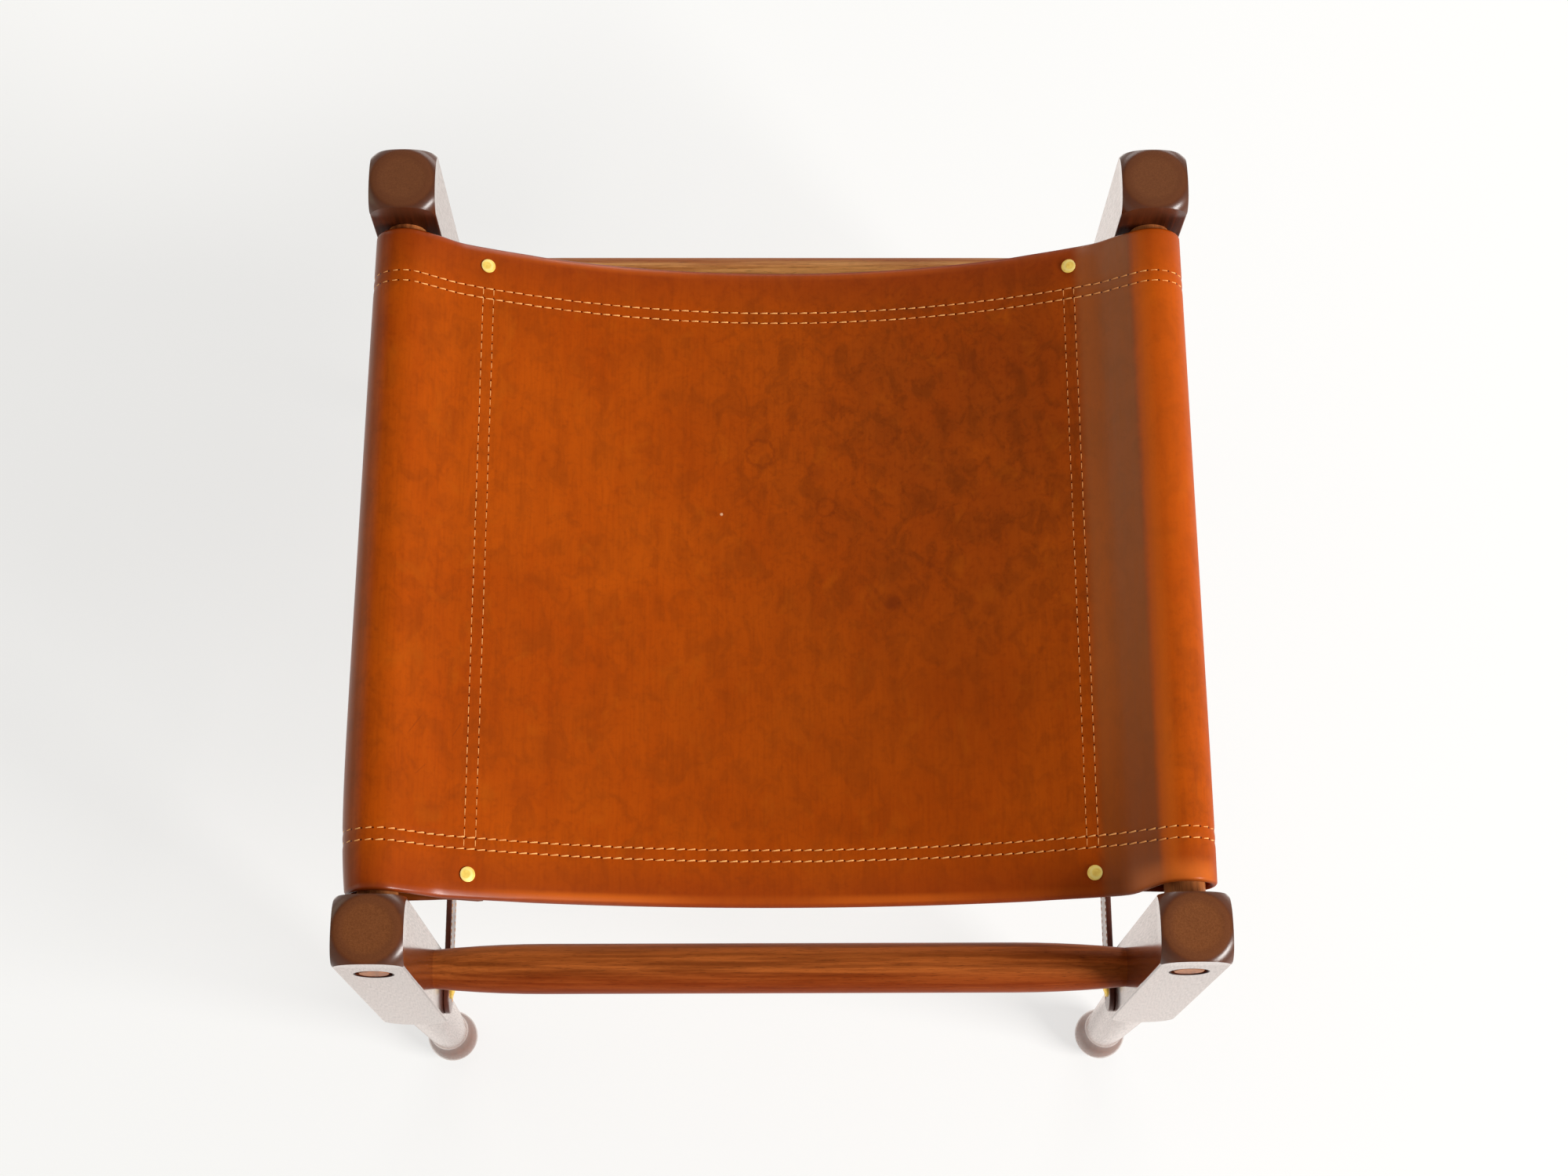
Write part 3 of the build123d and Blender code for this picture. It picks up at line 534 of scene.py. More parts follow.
def wood(name, along, tones, seed, is_leg=False, painted_top_light=0.0):
    """Stained walnut with its grain along one axis, in a dark, a middle and a light tone.

    The legs are lacquered and the bars waxed; the bars get painted light on top and painted shade on their
    outer side.
    """
    paint = new_paint(name)
    place = paint.node("ShaderNodeTexCoord", {}, {}, "Object")
    x, y, z = paint.axes(place)
    order = {"x": (y, z, x), "y": (x, z, y), "z": (x, y, z)}[along]
    grain = paint.node("ShaderNodeCombineXYZ", {}, {0: order[0], 1: order[1] + seed, 2: order[2]})
    wander = paint.noise(paint.stretch(grain, (1, 1, 0.12)), 14.0, 3.0, 0.5)
    pith = paint.distance(order[0] + 0.031, order[1] + seed * 0.1 + 0.02)
    rings = (pith * 210 + wander * 5).math("SINE") * 0.5 + 0.5
    figure = rings * wander.rise(0.3, 0.7) * 0.5
    streaks = paint.noise(paint.stretch(grain, (1, 1, 0.035)), 260.0, 5.0, 0.65).rise(0.35, 0.68)
    fine = paint.noise(paint.stretch(grain, (1, 1, 0.03)), 1500.0, 3.0, 0.6)
    pores = paint.noise(paint.stretch(grain, (1, 1, 0.05)), 2600.0, 2.0, 0.5)

    def grained(dark, middle, light):
        return paint.over(paint.mix(streaks, colour(*dark), colour(*middle)), (figure, light))

    base = grained(*tones)
    if painted_top_light:
        # painted light on the top of the bars: a paler copy of the grain
        pale = grained((198, 122, 62), (255, 188, 112), (252, 202, 136))
        base = paint.mix(z.rise(bar_z - 0.004, bar_z + 0.008) * painted_top_light, base, pale)
        # painted shade on the outer side of the bars
        outward = (abs(y) - bar_y).rise(0.001, 0.012)
        base = paint.over(base, (outward * 0.65, (120, 34, 0)))
    base = paint.over(
        base, (fine.rise(0.5, 0.75) * 0.3, tones[0]), (pores.rise(0.58, 0.7) * 0.45, (48, 18, 8)))
    crest, foot, painted_bore_shade = 0.0, 0.0, 0.0
    if is_leg:
        base, crest, foot, painted_bore_shade = leg_ends(paint, base, place)
    height = pores * -0.6 + fine * -0.3
    body = paint.node("ShaderNodeBsdfPrincipled", {}, {
        "Base Color": base, "Roughness": 0.30 + fine * 0.16, "Specular IOR Level": 0.05,
        "Coat Weight": crest, "Coat Roughness": 0.26, "Normal": paint.bump(height, 0.18, 0.0003)})
    return paint.finish(lacquered(paint, body, 1.0 if is_leg else 0.06, pores, foot * 0.4, painted_bore_shade))


def brass(name, rivets=False):
    """Yellow brass, a little dull."""
    paint = new_paint(name)
    place = paint.node("ShaderNodeTexCoord", {}, {}, "Object")
    dull = paint.noise(place, 380.0, 4.0, 0.6)
    base = paint.mix(dull.rise(0.35, 0.75), colour(255, 222, 108), colour(240, 198, 86))
    height = dull * 0.3
    if rivets:
        x, y, _ = paint.axes(place)
        reach = paint.distance(abs(x) - RIVET_X, abs(y) - RIVET_Y) * 1000
        # painted highlight round the domed rivet head
        rim_highlight = reach.rise(2.2, 2.9) * (1 - reach.rise(3.6, 4.4))
        base = paint.over(base, (rim_highlight * 0.6, (255, 236, 150)))
        height = height + reach.rise(1.2, 2.6) * 2
    surface = paint.node("ShaderNodeBsdfPrincipled", {}, {
        "Base Color": base, "Metallic": 0.1 if rivets else 0.85, "Roughness": 0.28 + dull * 0.2,
        "Normal": paint.bump(height, 0.3, 0.0003)})
    return paint.finish(surface)


# Paths
def walk(start, heading, moves, step, run_step=None):
    """Points, headings and distances along runs ("run", length) and arcs ("arc", radius, turn)."""
    point = np.array(start, float)
    rows = [(*point, heading, 0.0)]
    travelled = 0.0
    for move in moves:
        is_arc = move[0] == "arc"
        length = move[1] * abs(move[2]) if is_arc else move[1]
        count = max(1, math.ceil(length / (step if is_arc else run_step or step)))
        turn = move[2] / count if is_arc else 0.0
        chord = 2 * move[1] * math.sin(abs(turn) / 2) if is_arc else length / count
        for _ in range(count):
            middle = heading + turn / 2
            point = point + chord * np.array((math.cos(middle), math.sin(middle)))
            heading += turn
            travelled += length / count
            rows.append((*point, heading, travelled))
    return np.array(rows)


def path_point(path, distance):
    """Point and heading at a distance along a path."""
    return [float(np.interp(distance, path[:, 3], path[:, column])) for column in range(3)]


def upper_moves():
    """Right half of the seat from the middle to where it meets the rail, and its lowest height."""
    touch_x = rail_x - loop_radius * math.sin(SHOULDER_ANGLE)
    touch_z = rail_z + loop_radius * math.cos(SHOULDER_ANGLE)
    reach = touch_x - SHOULDER_RUN * math.cos(SHOULDER_ANGLE)
    reach -= SHOULDER_BLEND_RADIUS * math.sin(SHOULDER_ANGLE)
    sag = math.asin(reach / (SAG_RADIUS - SHOULDER_BLEND_RADIUS))
    rise = SAG_RADIUS * (1 - math.cos(sag)) + SHOULDER_RUN * math.sin(SHOULDER_ANGLE)
    rise += SHOULDER_BLEND_RADIUS * (math.cos(sag) - math.cos(SHOULDER_ANGLE))
    moves = [
        ("arc", SAG_RADIUS, sag),
        ("arc", SHOULDER_BLEND_RADIUS, SHOULDER_ANGLE - sag),
        ("run", SHOULDER_RUN),
    ]
    return touch_z - rise, moves


seat_low_z, panel_moves = upper_moves()


def lower_moves():
    """Round the rail and back under the seat to the sewn flap."""
    sag_center_z = seat_low_z + SAG_RADIUS
    flap_radius = SAG_RADIUS + LEATHER - FLAP_SINK
    start_angle = math.asin(FLAP_START_X / flap_radius)
    end_angle = math.asin(FLAP_END_X / flap_radius)
    flap_heading = math.pi + start_angle
    flap_z = sag_center_z - flap_radius * math.cos(start_angle)
    blend_x = FLAP_START_X - FLAP_BLEND_RADIUS * math.sin(flap_heading)
    blend_z = flap_z + FLAP_BLEND_RADIUS * math.cos(flap_heading)
    span = math.hypot(blend_x - rail_x, blend_z - rail_z)
    radii = loop_radius + FLAP_BLEND_RADIUS
    run_heading = math.atan2(blend_z - rail_z, blend_x - rail_x) % math.tau - math.asin(radii / span)
    return [
        ("arc", loop_radius, run_heading - math.tau - SHOULDER_ANGLE),
        ("run", math.sqrt(span ** 2 - radii ** 2)),
        ("arc", FLAP_BLEND_RADIUS, flap_heading - run_heading),
        ("arc", flap_radius, end_angle - start_angle),
    ]


wrap_moves = lower_moves()
right_path = walk((0, seat_low_z), 0.0, panel_moves + wrap_moves, SEAT_STEP)
path_length = right_path[-1, 3]
panel_length = sum(m[1] * m[2] if m[0] == "arc" else m[1] for m in panel_moves)
loop_end = panel_length + loop_radius * abs(wrap_moves[0][2])
flap_start = loop_end + wrap_moves[1][1]


def seam_places():
    """Distances from the middle, along the leather, of the seam rows on the panel and on the flap."""
    on_panel = [SAG_RADIUS * math.asin(row / SAG_RADIUS) for row in SEAM_ROWS]
    tail = right_path[right_path[:, 3] > flap_start]
    on_flap = [float(np.interp(-row, -tail[:, 0], tail[:, 3])) for row in SEAM_ROWS]
    return on_panel, on_flap


panel_seams, flap_seams = seam_places()
seam_distances = panel_seams + flap_seams


def ease(t):
    """Smooth step of a number or array."""
    t = np.clip(t, 0.0, 1.0)
    return t * t * (3 - 2 * t)


def bell(t):
    """1 at 0, and down to almost 0 at 2."""
    return np.exp(-np.square(t))


def relief(u, y):
    """How far the leather, shaped by use, lies in from its path, at a distance from the middle and a depth."""
    u_out, y_out = np.abs(u), np.abs(y)
    across = np.clip(u_out / WORN_REACH, 0, 1)
    along = np.clip(y_out / seat_half_depth, 0, 1)
    sunk = WORN_SAG * (1 - across ** 2) ** 2 * (1 - along ** 2)
    drop = FLAP_DROP + (FLAP_HEM_DROP - FLAP_DROP) * ease((y_out - FLAP_HEM_START) / FLAP_HEM_RUN)
    sunk = sunk - drop * ease((u_out - loop_end) / (flap_start - loop_end))
    groove = np.zeros_like(along)
    for row in HEM_ROWS:
        groove = np.maximum(groove, HEM_GROOVE * bell((y_out - row) / HEM_GROOVE_REACH))
    for row in seam_distances:
        seam = SEAM_GROOVE * bell((u_out - row) / SEAM_GROOVE_REACH)
        groove = np.maximum(groove, seam * (y_out < HEM_ROWS[1]))
    sunk = sunk + groove
    outermost = panel_length + loop_radius * (SHOULDER_ANGLE + math.pi / 2)
    slack = SLEEVE_SLACK[1 if u > 0 else -1] * bell((u_out - outermost) / SLACK_REACH)
    sunk = sunk - slack * (0.5 - 2 * np.asarray(y)) * (1 - along ** 6)
    rolled = ease((y_out - ROLLED_START) / ROLLED_RUN) * (1 - ease((u_out - WORN_REACH) / ROLLED_FADE))
    sunk = sunk + ROLLED_EDGE * rolled
    from_rivet = np.hypot(u_out - panel_seams[0] - RIVET_FROM_SEAM, y_out - RIVET_Y)
    return sunk + RIVET_DIMPLE * bell(from_rivet / RIVET_DIMPLE_REACH)


def drawn_in(u, y):
    """A depth, moved in where the front edge is pulled in: at the middle of its width and the right sleeve."""
    across = 1 - np.clip(np.abs(u) / WORN_REACH, 0, 1) ** 2
    sleeve = ease((np.asarray(u) - SHORT_SLEEVE_START) / SHORT_SLEEVE_RUN)
    forward = ease((-np.asarray(y) - DRAWN_START) / DRAWN_RUN)
    return y + (DRAWN_IN * across + SHORT_SLEEVE * sleeve) * forward


def leather_point(u, y, lift):
    """Point at a distance along the leather, a depth and a height above its outer face."""
    x, z, heading = path_point(right_path, abs(u))
    out = LEATHER / 2 + lift - relief(u, y)
    x = x - out * math.sin(heading)
    z = z + out * math.cos(heading)
    return Vector((math.copysign(1, u) * x, float(drawn_in(u, y)), z))


# Mesh helpers
def add_object(name, mesh, material, smooth=True):
    made = bpy.data.objects.new(name, mesh)
    bpy.context.scene.collection.objects.link(made)
    mesh.materials.append(material)
    if smooth:
        mesh.shade_smooth()
    return made


def hem_thickness(distance):
    """Thickness of the folded layer, pared down where it is sewn into the seam."""
    return LEATHER + (SKIVED_HEM - LEATHER) * ease((distance - SKIVE_START) / SKIVE_RUN)


def depth_section(hem):
    """Outer and inner line of the panel's section along its depth, with a hem so thick folded under."""
    fold_radius = (LEATHER + HEM_GAP + hem) / 2
    fold_y = seat_half_depth - fold_radius
    fold_n = fold_radius - LEATHER / 2
    inner_n = (LEATHER + HEM_GAP) / 2
    flat = np.unique(np.concatenate([
        np.linspace(-FINE_START, FINE_START, 61),
        np.linspace(FINE_START, FINE_END, 24), np.linspace(-FINE_END, -FINE_START, 24),
        np.linspace(FINE_END, fold_y, 6), np.linspace(-fold_y, -FINE_END, 6)]))
    outer = [(y, -LEATHER / 2) for y in flat]
    inner = [(y, LEATHER / 2) for y in flat]
    for angle in np.linspace(0, math.pi, 11)[1:]:
        outer.append((fold_y + fold_radius * math.sin(angle), fold_n - fold_radius * math.cos(angle)))
        inner.append((fold_y + HEM_GAP / 2 * math.sin(angle), inner_n - HEM_GAP / 2 * math.cos(angle)))
    low = inner_n + HEM_GAP / 2
    edge = seat_half_depth - HEM_WIDTH
    for y in np.linspace(fold_y, edge + HEM_CUT_ROUNDING, 8)[1:]:
        outer.append((y, low + hem))
        inner.append((y, low))
    for inset, share in HEM_CUT_STEPS:
        outer.append((edge + inset, low + hem * (0.5 + share / 2)))
        inner.append((edge + inset, low + hem * (0.5 - share / 2)))
    fold_and_hem = len(outer) - len(flat)
    outer = [(-y, n) for y, n in reversed(outer[-fold_and_hem:])] + outer
    inner = [(-y, n) for y, n in reversed(inner[-fold_and_hem:])] + inner
    return np.array(outer), np.array(inner)


def make_seat():
    """One closed skin: the panel, its sleeves and flaps, and the hems folded under at the front and back."""
    left = right_path[:0:-1].copy()
    left[:, 0] *= -1
    left[:, 3] *= -1
    rows = np.vstack([left, right_path])
    verts, hide = [], []
    for x, z, heading, u in rows:
        mirror = -1 if u < 0 else 1
        edge_in = min(path_length - abs(u), CUT_ROUNDING) / CUT_ROUNDING
        rounded = CUT_THICKNESS + (1 - CUT_THICKNESS) * math.sqrt(1 - (1 - edge_in) ** 2)
        outer, inner = depth_section(hem_thickness(abs(u)))
        middle = (outer + inner) / 2
        for line, side in ((outer, 1), (inner, -1)):
            line = middle + (line - middle) * rounded
            n = line[:, 1] + relief(u, line[:, 0])
            px = x + n * math.sin(heading) * mirror
            pz = z - n * math.cos(heading)
            verts += zip(px, drawn_in(u, line[:, 0]), pz)
            hide += [(u, y, side * edge_in) for y in line[:, 0]]
    ring = len(verts) // len(rows)
    half = ring // 2
    faces = []
    for i in range(len(rows) - 1):
        a, b = i * ring, (i + 1) * ring
        for k in range(half - 1):
            faces.append((a + k, b + k, b + k + 1, a + k + 1))
            faces.append((a + half + k, a + half + k + 1, b + half + k + 1, b + half + k))
        faces.append((a, a + half, b + half, b))
        faces.append((a + half - 1, b + half - 1, b + ring - 1, a + ring - 1))
    for i, flip in ((0, False), (len(rows) - 1, True)):
        a = i * ring
        for k in range(half - 1):
            face = (a + k, a + k + 1, a + half + k + 1, a + half + k)
            faces.append(face[::-1] if flip else face)
    mesh = bpy.data.meshes.new("seat_panel")
    mesh.from_pydata(verts, [], faces)
    attribute = mesh.attributes.new("hide", "FLOAT_VECTOR", "POINT")
    attribute.data.foreach_set("vector", np.array(hide, np.float32).ravel())
    made = add_object("seat_panel", mesh, seat_leather())
    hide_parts("seat_sling")
    return made


def dash(verts, faces, start, end, up, radius):
    """One stitch from a hole to the next: plump in the middle, its ends drawn down into the leather."""
    along = (end - start).normalized()
    across = along.cross(up).normalized()
    first = len(verts)
    for share, swell, lift in STITCH_RINGS:
        middle = start.lerp(end, share) + up * (lift * radius)
        for k in range(STITCH_SIDES):
            angle = math.tau * k / STITCH_SIDES
            round_it = across * math.cos(angle) + up * math.sin(angle) * STITCH_FLATNESS
            verts.append(middle + round_it * (radius * swell))
    for ring in range(first, len(verts) - STITCH_SIDES, STITCH_SIDES):
        for k in range(STITCH_SIDES):
            a, b = ring + k, ring + (k + 1) % STITCH_SIDES
            faces.append((a, b, b + STITCH_SIDES, a + STITCH_SIDES))


def make_threads(name, rows, material):
    """Mesh of stitches, in rows.

    A row is a function from a distance and a shift to a point and the way up, then the two ends of its
    stretch, and its pitch, radius and slant.
    """
    verts, faces = [], []
    chance = random.Random(name)
    for at, first, last, pitch, radius, slant in rows:
        count = int(round((last - first) / pitch))
        for k in range(count):
            stray = chance.uniform(-STITCH_STRAY, STITCH_STRAY)
            start, start_up = at(first + k * pitch + STITCH_INSET, stray - slant)
            end, end_up = at(first + (k + 1) * pitch - STITCH_INSET, stray + slant)
            up = ((start_up + end_up) / 2).normalized()
            dash(verts, faces, start, end, up, radius * chance.uniform(0.9, 1.1))
    mesh = bpy.data.meshes.new(name)
    mesh.from_pydata(verts, [], faces)
    made = add_object(name, mesh, material)
    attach(made, "root")
    return made


def on_leather(u, y):
    """Point on the outer face of the leather, and the way up from it."""
    point = leather_point(u, y, 0.0)
    return point, (leather_point(u, y, PROBE) - point).normalized()


def hem_row(row, end):
    """Stitches along a hem, on the outer face."""
    return lambda u, shift: on_leather(u, end * row + shift)


def seam_row(u, side):
    """Stitches along a seam, on the outer face."""
    return lambda y, shift: on_leather(side * (u + shift), y)


def make_seat_threads(material):
    """Hem rows run the whole width of the leather; seam rows run between them, above and below."""
    half_count = int(path_length / HEM_PITCH)
    reach = half_count * HEM_PITCH
    hems = []
    for row in HEM_ROWS:
        for end, slant in ((-1, FRONT_SLANT), (1, BACK_SLANT)):
            hems.append((hem_row(row, end), -reach, reach, HEM_PITCH, HEM_THREAD, slant))
    seams = []
    reach = round(HEM_ROWS[1] / SEAM_PITCH) * SEAM_PITCH
    for u in seam_distances:
        for side in (-1, 1):
            seams.append((seam_row(u, side), -reach, reach, SEAM_PITCH, SEAM_THREAD, SEAM_SLANT))
    return [make_threads("hem_stitches", hems, material), make_threads("seam_stitches", seams, material)]


# Straps
def s_bend(length, rise):
    """Two equal arcs that move a path sideways by rise over a length."""
    angle = 2 * math.atan2(abs(rise), length)
    radius = length / (2 * math.sin(angle))
    turn = math.copysign(angle, rise)
    return [("arc", radius, turn), ("arc", radius, -turn)]


def corner_arc(x, y, radius, start):
    """Quarter circle, to the left, round a centre."""
    angles = [start + k * math.pi / 16 for k in range(9)]
    return [(x + radius * math.cos(angle), y + radius * math.sin(angle)) for angle in angles]


def strip_outline(length, width, front_rounding, back_rounding):
    """Closed outline of a strip that lies along X, with its corners rounded."""
    points = []
    for x, y, radius, start in (
            (length - back_rounding, width / 2 - back_rounding, back_rounding, 0.0),
            (front_rounding, width / 2 - front_rounding, front_rounding, math.pi / 2),
            (front_rounding, front_rounding - width / 2, front_rounding, math.pi),
            (length - back_rounding, back_rounding - width / 2, back_rounding, math.pi * 1.5)):
        points += corner_arc(x, y, radius, start)
    return points


def oblong(middle, length, width):
    """Closed outline of a punched hole."""
    return [(x + middle - length / 2, y) for x, y in strip_outline(length, width, width / 2, width / 2)]


def flat_leather(outlines, thickness, cuts):
    """Flat piece with eased edges, cut to its outlines, and cut across at many places so that it can bend."""
    curve = bpy.data.curves.new("cut_leather", "CURVE")
    curve.dimensions = "2D"
    curve.fill_mode = "BOTH"
    edge = min(STRAP_EDGE, thickness * 0.3)
    curve.extrude = thickness / 2 - edge
    curve.bevel_depth = edge
    curve.bevel_resolution = 2
    curve.offset = -edge
    for outline in outlines:
        spline = curve.splines.new("POLY")
        spline.points.add(len(outline) - 1)
        spline.points.foreach_set("co", [value for x, y in outline for value in (x, y, 0.0, 1.0)])
        spline.use_cyclic_u = True
    holder = bpy.data.objects.new("cut_leather", curve)
    piece = bmesh.new()
    piece.from_mesh(bpy.data.meshes.new_from_object(holder))
    bpy.data.objects.remove(holder)
    bmesh.ops.remove_doubles(piece, verts=piece.verts, dist=1e-6)
    for place in cuts:
        everything = piece.verts[:] + piece.edges[:] + piece.faces[:]
        bmesh.ops.bisect_plane(piece, geom=everything, dist=1e-7, plane_co=(place, 0, 0), plane_no=(1, 0, 0))
    return piece


def bend(piece, path, place, thinness=None):
    """Lays a flat piece along a path; place turns a point of the path and a width into a point in space."""
    for vert in piece.verts:
        distance, width, lift = vert.co
        first, second, heading = path_point(path, distance)
        if thinness:
            lift *= thinness(distance)
        vert.co = place(first - lift * math.sin(heading), second + lift * math.cos(heading), width)
    bmesh.ops.recalc_face_normals(piece, faces=piece.faces)


def strap_place(side):
    """Turns a strap's s, n and width into a point of the left (-1) or right (1) brace."""
    return lambda s, n, width: Vector((side * (strap_inner_x + n), s, strap_z + width))


def keeper_place(side):
    """Turns the width and n of a keeper's hoop, and its length, into a point."""
    return lambda width, n, s: Vector((side * (strap_inner_x + n), KEEPER_PLACE + s, strap_z + width))


def add_leather_piece(name, piece, body, node):
    mesh = bpy.data.meshes.new(name)
    piece.to_mesh(mesh)
    piece.free()
    made = add_object(name, mesh, strap_finish)
    mesh.set_sharp_from_angle(angle=SHARP_ANGLE)
    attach(made, body)
    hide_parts(node)


bar_n = strap_middle
over_bar_n = bar_n + LOOP_OUTER_RADIUS + BUCKLE_GAP + strap_middle
tail_n = STRAP_THICKNESS * 1.5 + TAIL_GAP
climb_start = CLIMB_START_FROM_TIP - BUCKLE_REACH
climb_end = -CREST_BEFORE_BAR
tail_start = CREST_AFTER_BAR + DESCENT_LENGTH


def tongue_path():
    """From the front leg, over the hinge bar, to the tail."""
    moves = [
        ("run", climb_start + strap_end),
        *s_bend(climb_end - climb_start, over_bar_n - strap_middle),
        ("run", CREST_AFTER_BAR - climb_end),
        *s_bend(DESCENT_LENGTH, tail_n - over_bar_n),
        ("run", TAIL_END - tail_start),
    ]
    return walk((-strap_end, strap_middle), 0.0, moves, STRAP_ARC_STEP, STRAP_RUN_STEP)


def heel_path():
    """From the back leg to the hinge bar, round it, and back to the end of the fold."""
    layer = STRAP_THICKNESS / 4
    loop_path = (LOOP_INNER_RADIUS + LOOP_OUTER_RADIUS) / 2
    span = math.hypot(LOOP_LENGTH, layer)
    swing = math.asin(loop_path / span) - math.atan2(layer, LOOP_LENGTH)
    reach = math.sqrt(span ** 2 - loop_path ** 2)
    fold = ("arc", FOLD_RADIUS, swing)
    moves = [
        ("run", strap_end - FOLD_END - FOLD_TAPER),
        *s_bend(FOLD_TAPER, layer),
        ("run", FOLD_END - LOOP_LENGTH),
        fold, ("run", reach), ("arc", loop_path, -math.pi - 2 * swing), ("run", reach), fold,
        ("run", FOLD_END - LOOP_LENGTH),
    ]
    return walk((strap_end, strap_middle), math.pi, moves, STRAP_ARC_STEP, STRAP_RUN_STEP)


def heel_thinness(distance):
    """The fold is two layers of half the thickness."""
    return 1 - 0.5 * float(ease((distance - (strap_end - FOLD_END - FOLD_TAPER)) / FOLD_TAPER))


def make_tongue(side, name):
    """Punched strap of the front leg; returns its rows of stitches."""
    path = tongue_path()
    middle_s = (climb_start + climb_end) / 2

    def hole(s, shift=0.0):
        return oblong(float(np.interp(s, path[:, 0], path[:, 3])) + shift, HOLE_LENGTH, HOLE_WIDTH)

    outlines = [strip_outline(path[-1, 3], STRAP_WIDTH, STRAP_END_ROUNDING, STRAP_END_ROUNDING)]
    outlines.append(hole(middle_s, PRONG_HOLE_SHIFT))
    for step in range(1, HOLES_EACH_SIDE + 1):
        outlines += [hole(middle_s - step * HOLE_PITCH), hole(middle_s + step * HOLE_PITCH)]
    piece = flat_leather(outlines, STRAP_THICKNESS, path[1:-1, 3])
    bend(piece, path, strap_place(side))
    add_leather_piece("tongue_leather_" + name, piece, "root", "strap_tongue_" + name)
    return strap_rows(path, side, STRAP_ROW_END, path[-1, 3] - STRAP_ROW_END)


def make_heel(side, name):
    """Strap of the back leg, folded round the hinge bar; returns its rows of stitches."""
    path = heel_path()
    length = path[-1, 3]
    loop_middle = (length + strap_end - FOLD_END) / 2
    outlines = [strip_outline(length, STRAP_WIDTH, STRAP_END_ROUNDING, LOOP_END_ROUNDING)]
    outlines.append(oblong(loop_middle, PRONG_SLOT_LENGTH, PRONG_SLOT_WIDTH))
    piece = flat_leather(outlines, STRAP_THICKNESS, path[1:-1, 3])
    bend(piece, path, strap_place(side), heel_thinness)
    add_leather_piece("heel_leather_" + name, piece, "root", "strap_heel_" + name)
    return strap_rows(path, side, STRAP_ROW_END, strap_end - LOOP_LENGTH - LOOP_ROW_END)


def make_keeper(side, name):
    """Narrow strip round both straps, its ends butted on the inner side."""
    gap = KEEPER_GAP + KEEPER_THICKNESS / 2
    low_n = -gap
    high_n = tail_n + strap_middle + gap
    half_width = STRAP_WIDTH / 2 + gap
    turn = ("arc", KEEPER_CORNER, math.pi / 2)
    start_run = ("run", half_width - KEEPER_CORNER)
    tall_run = ("run", high_n - low_n - 2 * KEEPER_CORNER)
    moves = [start_run, turn, tall_run, turn, start_run, start_run, turn, tall_run, turn, start_run]
    path = walk((0.0, low_n), 0.0, moves, KEEPER_ARC_STEP, KEEPER_RUN_STEP)
    outline = strip_outline(path[-1, 3] - KEEPER_BUTT, KEEPER_LENGTH, KEEPER_BUTT, KEEPER_BUTT)
    piece = flat_leather([outline], KEEPER_THICKNESS, path[1:-1, 3])
    bend(piece, path, keeper_place(side))
    add_leather_piece("keeper_leather_" + name, piece, "keeper_" + name, "strap_keeper_" + name)


def strap_rows(path, side, first, last):
    """Stitches along both edges of a strap, on both faces."""
    place = strap_place(side)
    rows = []
    for edge in (-1, 1):
        for face in (-1, 1):
            def at(distance, shift, edge=edge, face=face):
                s, n, heading = path_point(path, distance)
                width = edge * (STRAP_WIDTH / 2 - STRAP_ROW_INSET) + shift
                out = face * strap_middle
                point = place(s - out * math.sin(heading), n + out * math.cos(heading), width)
                above = place(s - 2 * out * math.sin(heading), n + 2 * out * math.cos(heading), width)
                return point, (above - point).normalized()
            rows.append((at, first, last, STRAP_PITCH, STRAP_THREAD, STRAP_SLANT))
    return rows


def make_straps():
    for side, name in ((-1, "left"), (1, "right")):
        rows = make_tongue(side, name) + make_heel(side, name)
        make_keeper(side, name)
        make_threads("strap_stitches_" + name, rows, thread_finish)


# Stage
def make_floor():
    """Pale studio floor that keeps the soft shadow."""
    paint = new_paint("floor")
    body = paint.node("ShaderNodeBsdfPrincipled", {}, {
        "Base Color": (0.94, 0.94, 0.93, 1), "Roughness": 0.9, "Specular IOR Level": 0.1})
    rays = paint.node("ShaderNodeLightPath")
    glossy = Value(paint, rays.socket.node.outputs["Is Glossy Ray"])
    through = Value(paint, rays.socket.node.outputs["Is Transmission Ray"])
    seen = (rays * 0.64).math("MAXIMUM", glossy.math("MAXIMUM", through) * 0.5)
    glow = paint.node("ShaderNodeEmission", {}, {"Color": (0.99, 0.99, 0.985, 1), "Strength": 1.0})
    surface = paint.node("ShaderNodeMixShader", {}, {0: seen, 1: body, 2: glow})
    mesh = bpy.data.meshes.new("floor")
    shape = bmesh.new()
    bmesh.ops.create_grid(shape, x_segments=4, y_segments=4, size=FLOOR_HALF_WIDTH)
    shape.to_mesh(mesh)
    floor = add_object("floor", mesh, paint.finish(surface), smooth=False)


def make_world():
    """Soft room light, dim overhead and bright near the horizon."""
    world = bpy.data.worlds.new("room")
    bpy.context.scene.world = world
    paint = Paint(world)
    place = paint.node("ShaderNodeTexCoord", {}, {}, "Generated")
    height = paint.axes(place)[2]
    tone = paint.mix(height.rise(0.35, 0.75), (0.56, 0.54, 0.50, 1), (0.20, 0.20, 0.20, 1))
    rays = paint.node("ShaderNodeLightPath")
    through = Value(paint, rays.socket.node.outputs["Is Transmission Ray"])
    tone = paint.mix(rays.math("MAXIMUM", through), tone, (1, 1, 1, 1))
    paint.finish(paint.node("ShaderNodeBackground", {}, {"Color": tone, "Strength": 1.0}))


def add_lamp(name, place, target, width, height, power, tone):
    lamp = bpy.data.lights.new(name, "AREA")
    lamp.shape = "RECTANGLE"
    lamp.size = width
    lamp.size_y = height
    lamp.energy = power
    lamp.color = tone
    made = bpy.data.objects.new(name, lamp)
    made.location = place
    made.rotation_euler = (Vector(target) - Vector(place)).to_track_quat("-Z", "Y").to_euler()
    bpy.context.scene.collection.objects.link(made)


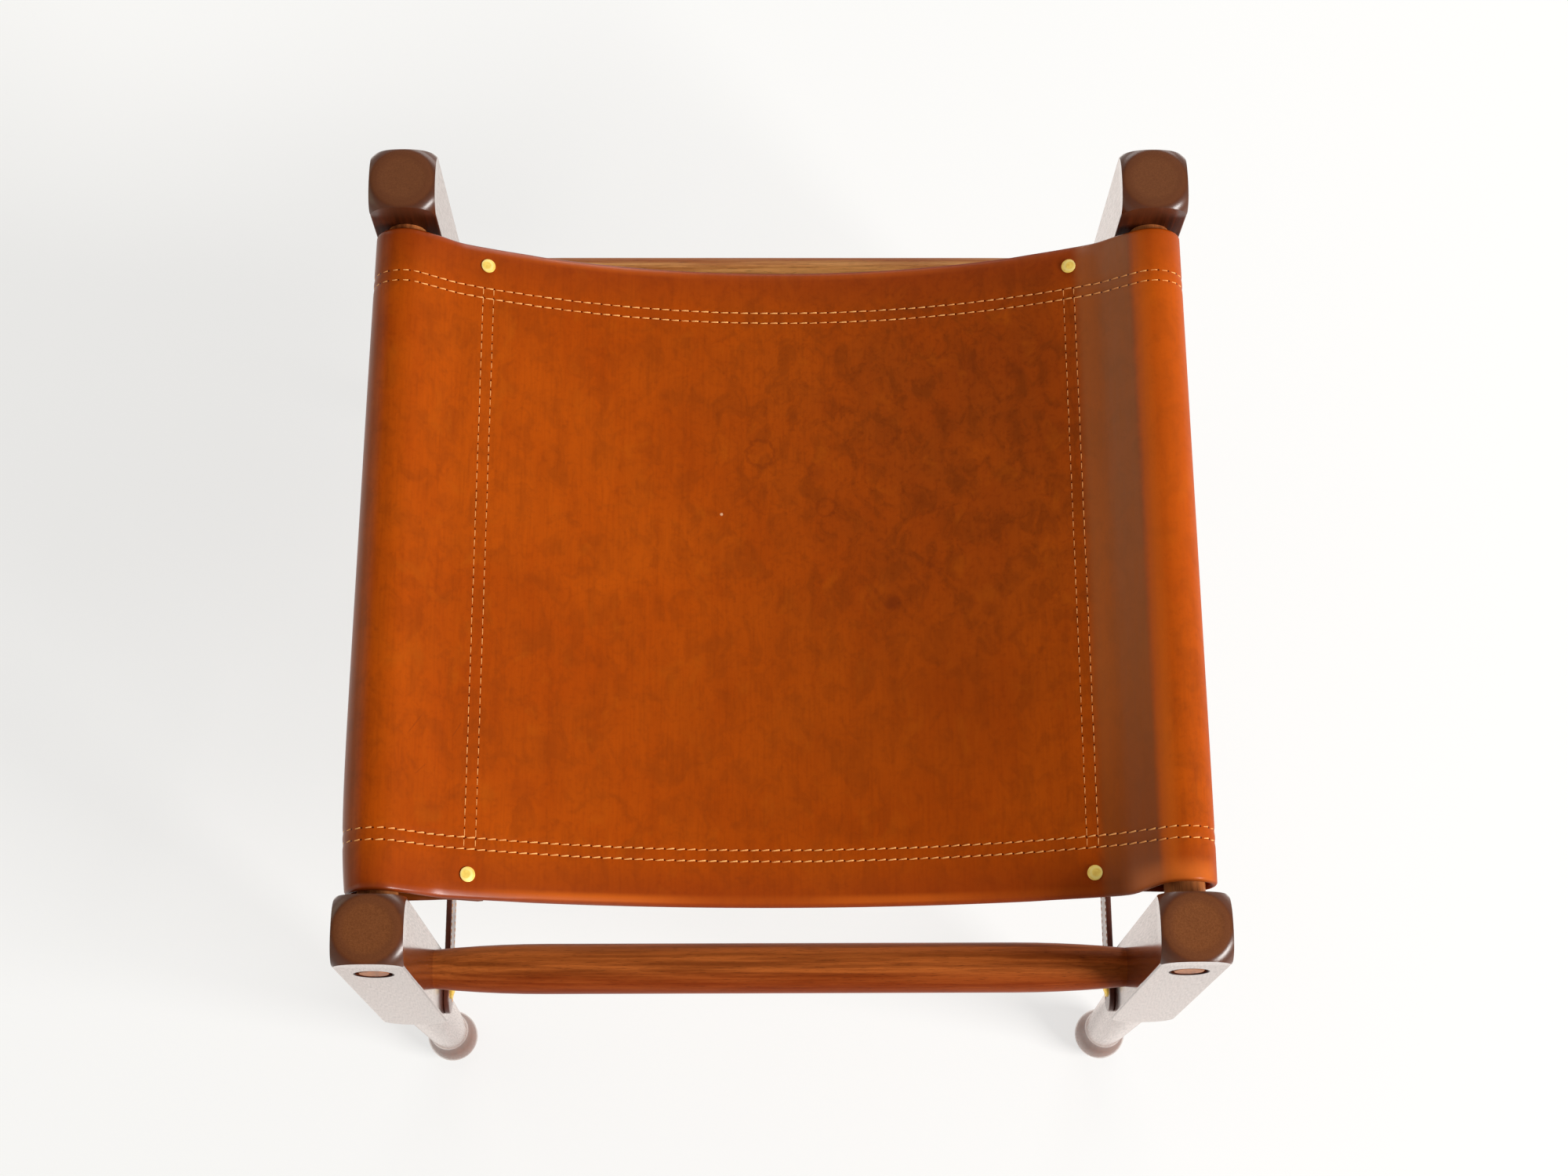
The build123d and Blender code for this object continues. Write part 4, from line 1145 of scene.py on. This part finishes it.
def make_camera():
    data = bpy.data.cameras.new("camera")
    data.sensor_width = SENSOR_WIDTH
    data.lens = FOCAL_LENGTH_PIXELS * SENSOR_WIDTH / PHOTO_WIDTH
    camera = bpy.data.objects.new("camera", data)
    right = CAMERA_FORWARD.cross(CAMERA_UP).normalized()
    turn = Matrix((right, CAMERA_UP.normalized(), -CAMERA_FORWARD.normalized())).transposed()
    camera.matrix_world = Matrix.Translation(CAMERA_PLACE) @ turn.to_4x4()
    bpy.context.scene.collection.objects.link(camera)
    bpy.context.scene.camera = camera


def dress(names, material):
    for name in names:
        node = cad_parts[name]
        node.data.materials.clear()
        node.data.materials.append(material)


make_camera()
make_floor()
make_world()
for lamp in LAMPS:
    add_lamp(*lamp)

seat = make_seat()
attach(seat, "root")
thread_finish = thread()
seat_threads = make_seat_threads(thread_finish)

strap_finish = strap_leather()
make_straps()

leg_tones = ((50, 19, 7), (84, 35, 15), (116, 54, 26))
front_tones = ((112, 44, 6), (176, 80, 18), (206, 112, 42))
back_tones = ((106, 42, 6), (168, 76, 16), (198, 106, 38))
rail_tones = ((118, 62, 32), (180, 104, 56), (210, 138, 80))
dress(
    [f"leg_{end}_{side}" for end in ("front", "back") for side in SIDES],
    wood("leg_walnut", "z", leg_tones, 0.0, is_leg=True))
dress(["stretcher_front"], wood("front_stretcher_walnut", "x", front_tones, 0.3, painted_top_light=0.12))
dress(["stretcher_back"], wood("back_stretcher_walnut", "x", back_tones, 0.7, painted_top_light=1.0))
dress([f"side_rail_{side}" for side in SIDES], wood("rail_walnut", "y", rail_tones, 0.5))
dress(["seat_rivets"], brass("rivet_brass", rivets=True))
metal = ["seat_rivet_burrs", "strap_screws", "strap_washers"]
metal += [f"{name}_{side}" for name in ("buckle_frame", "buckle_prong") for side in SIDES]
dress(metal, brass("brass"))
straps = [f"{name}_{side}" for name in ("strap_tongue", "strap_heel", "strap_keeper") for side in SIDES]
dress(straps, strap_finish)

bpy.context.scene.view_settings.view_transform = "Standard"
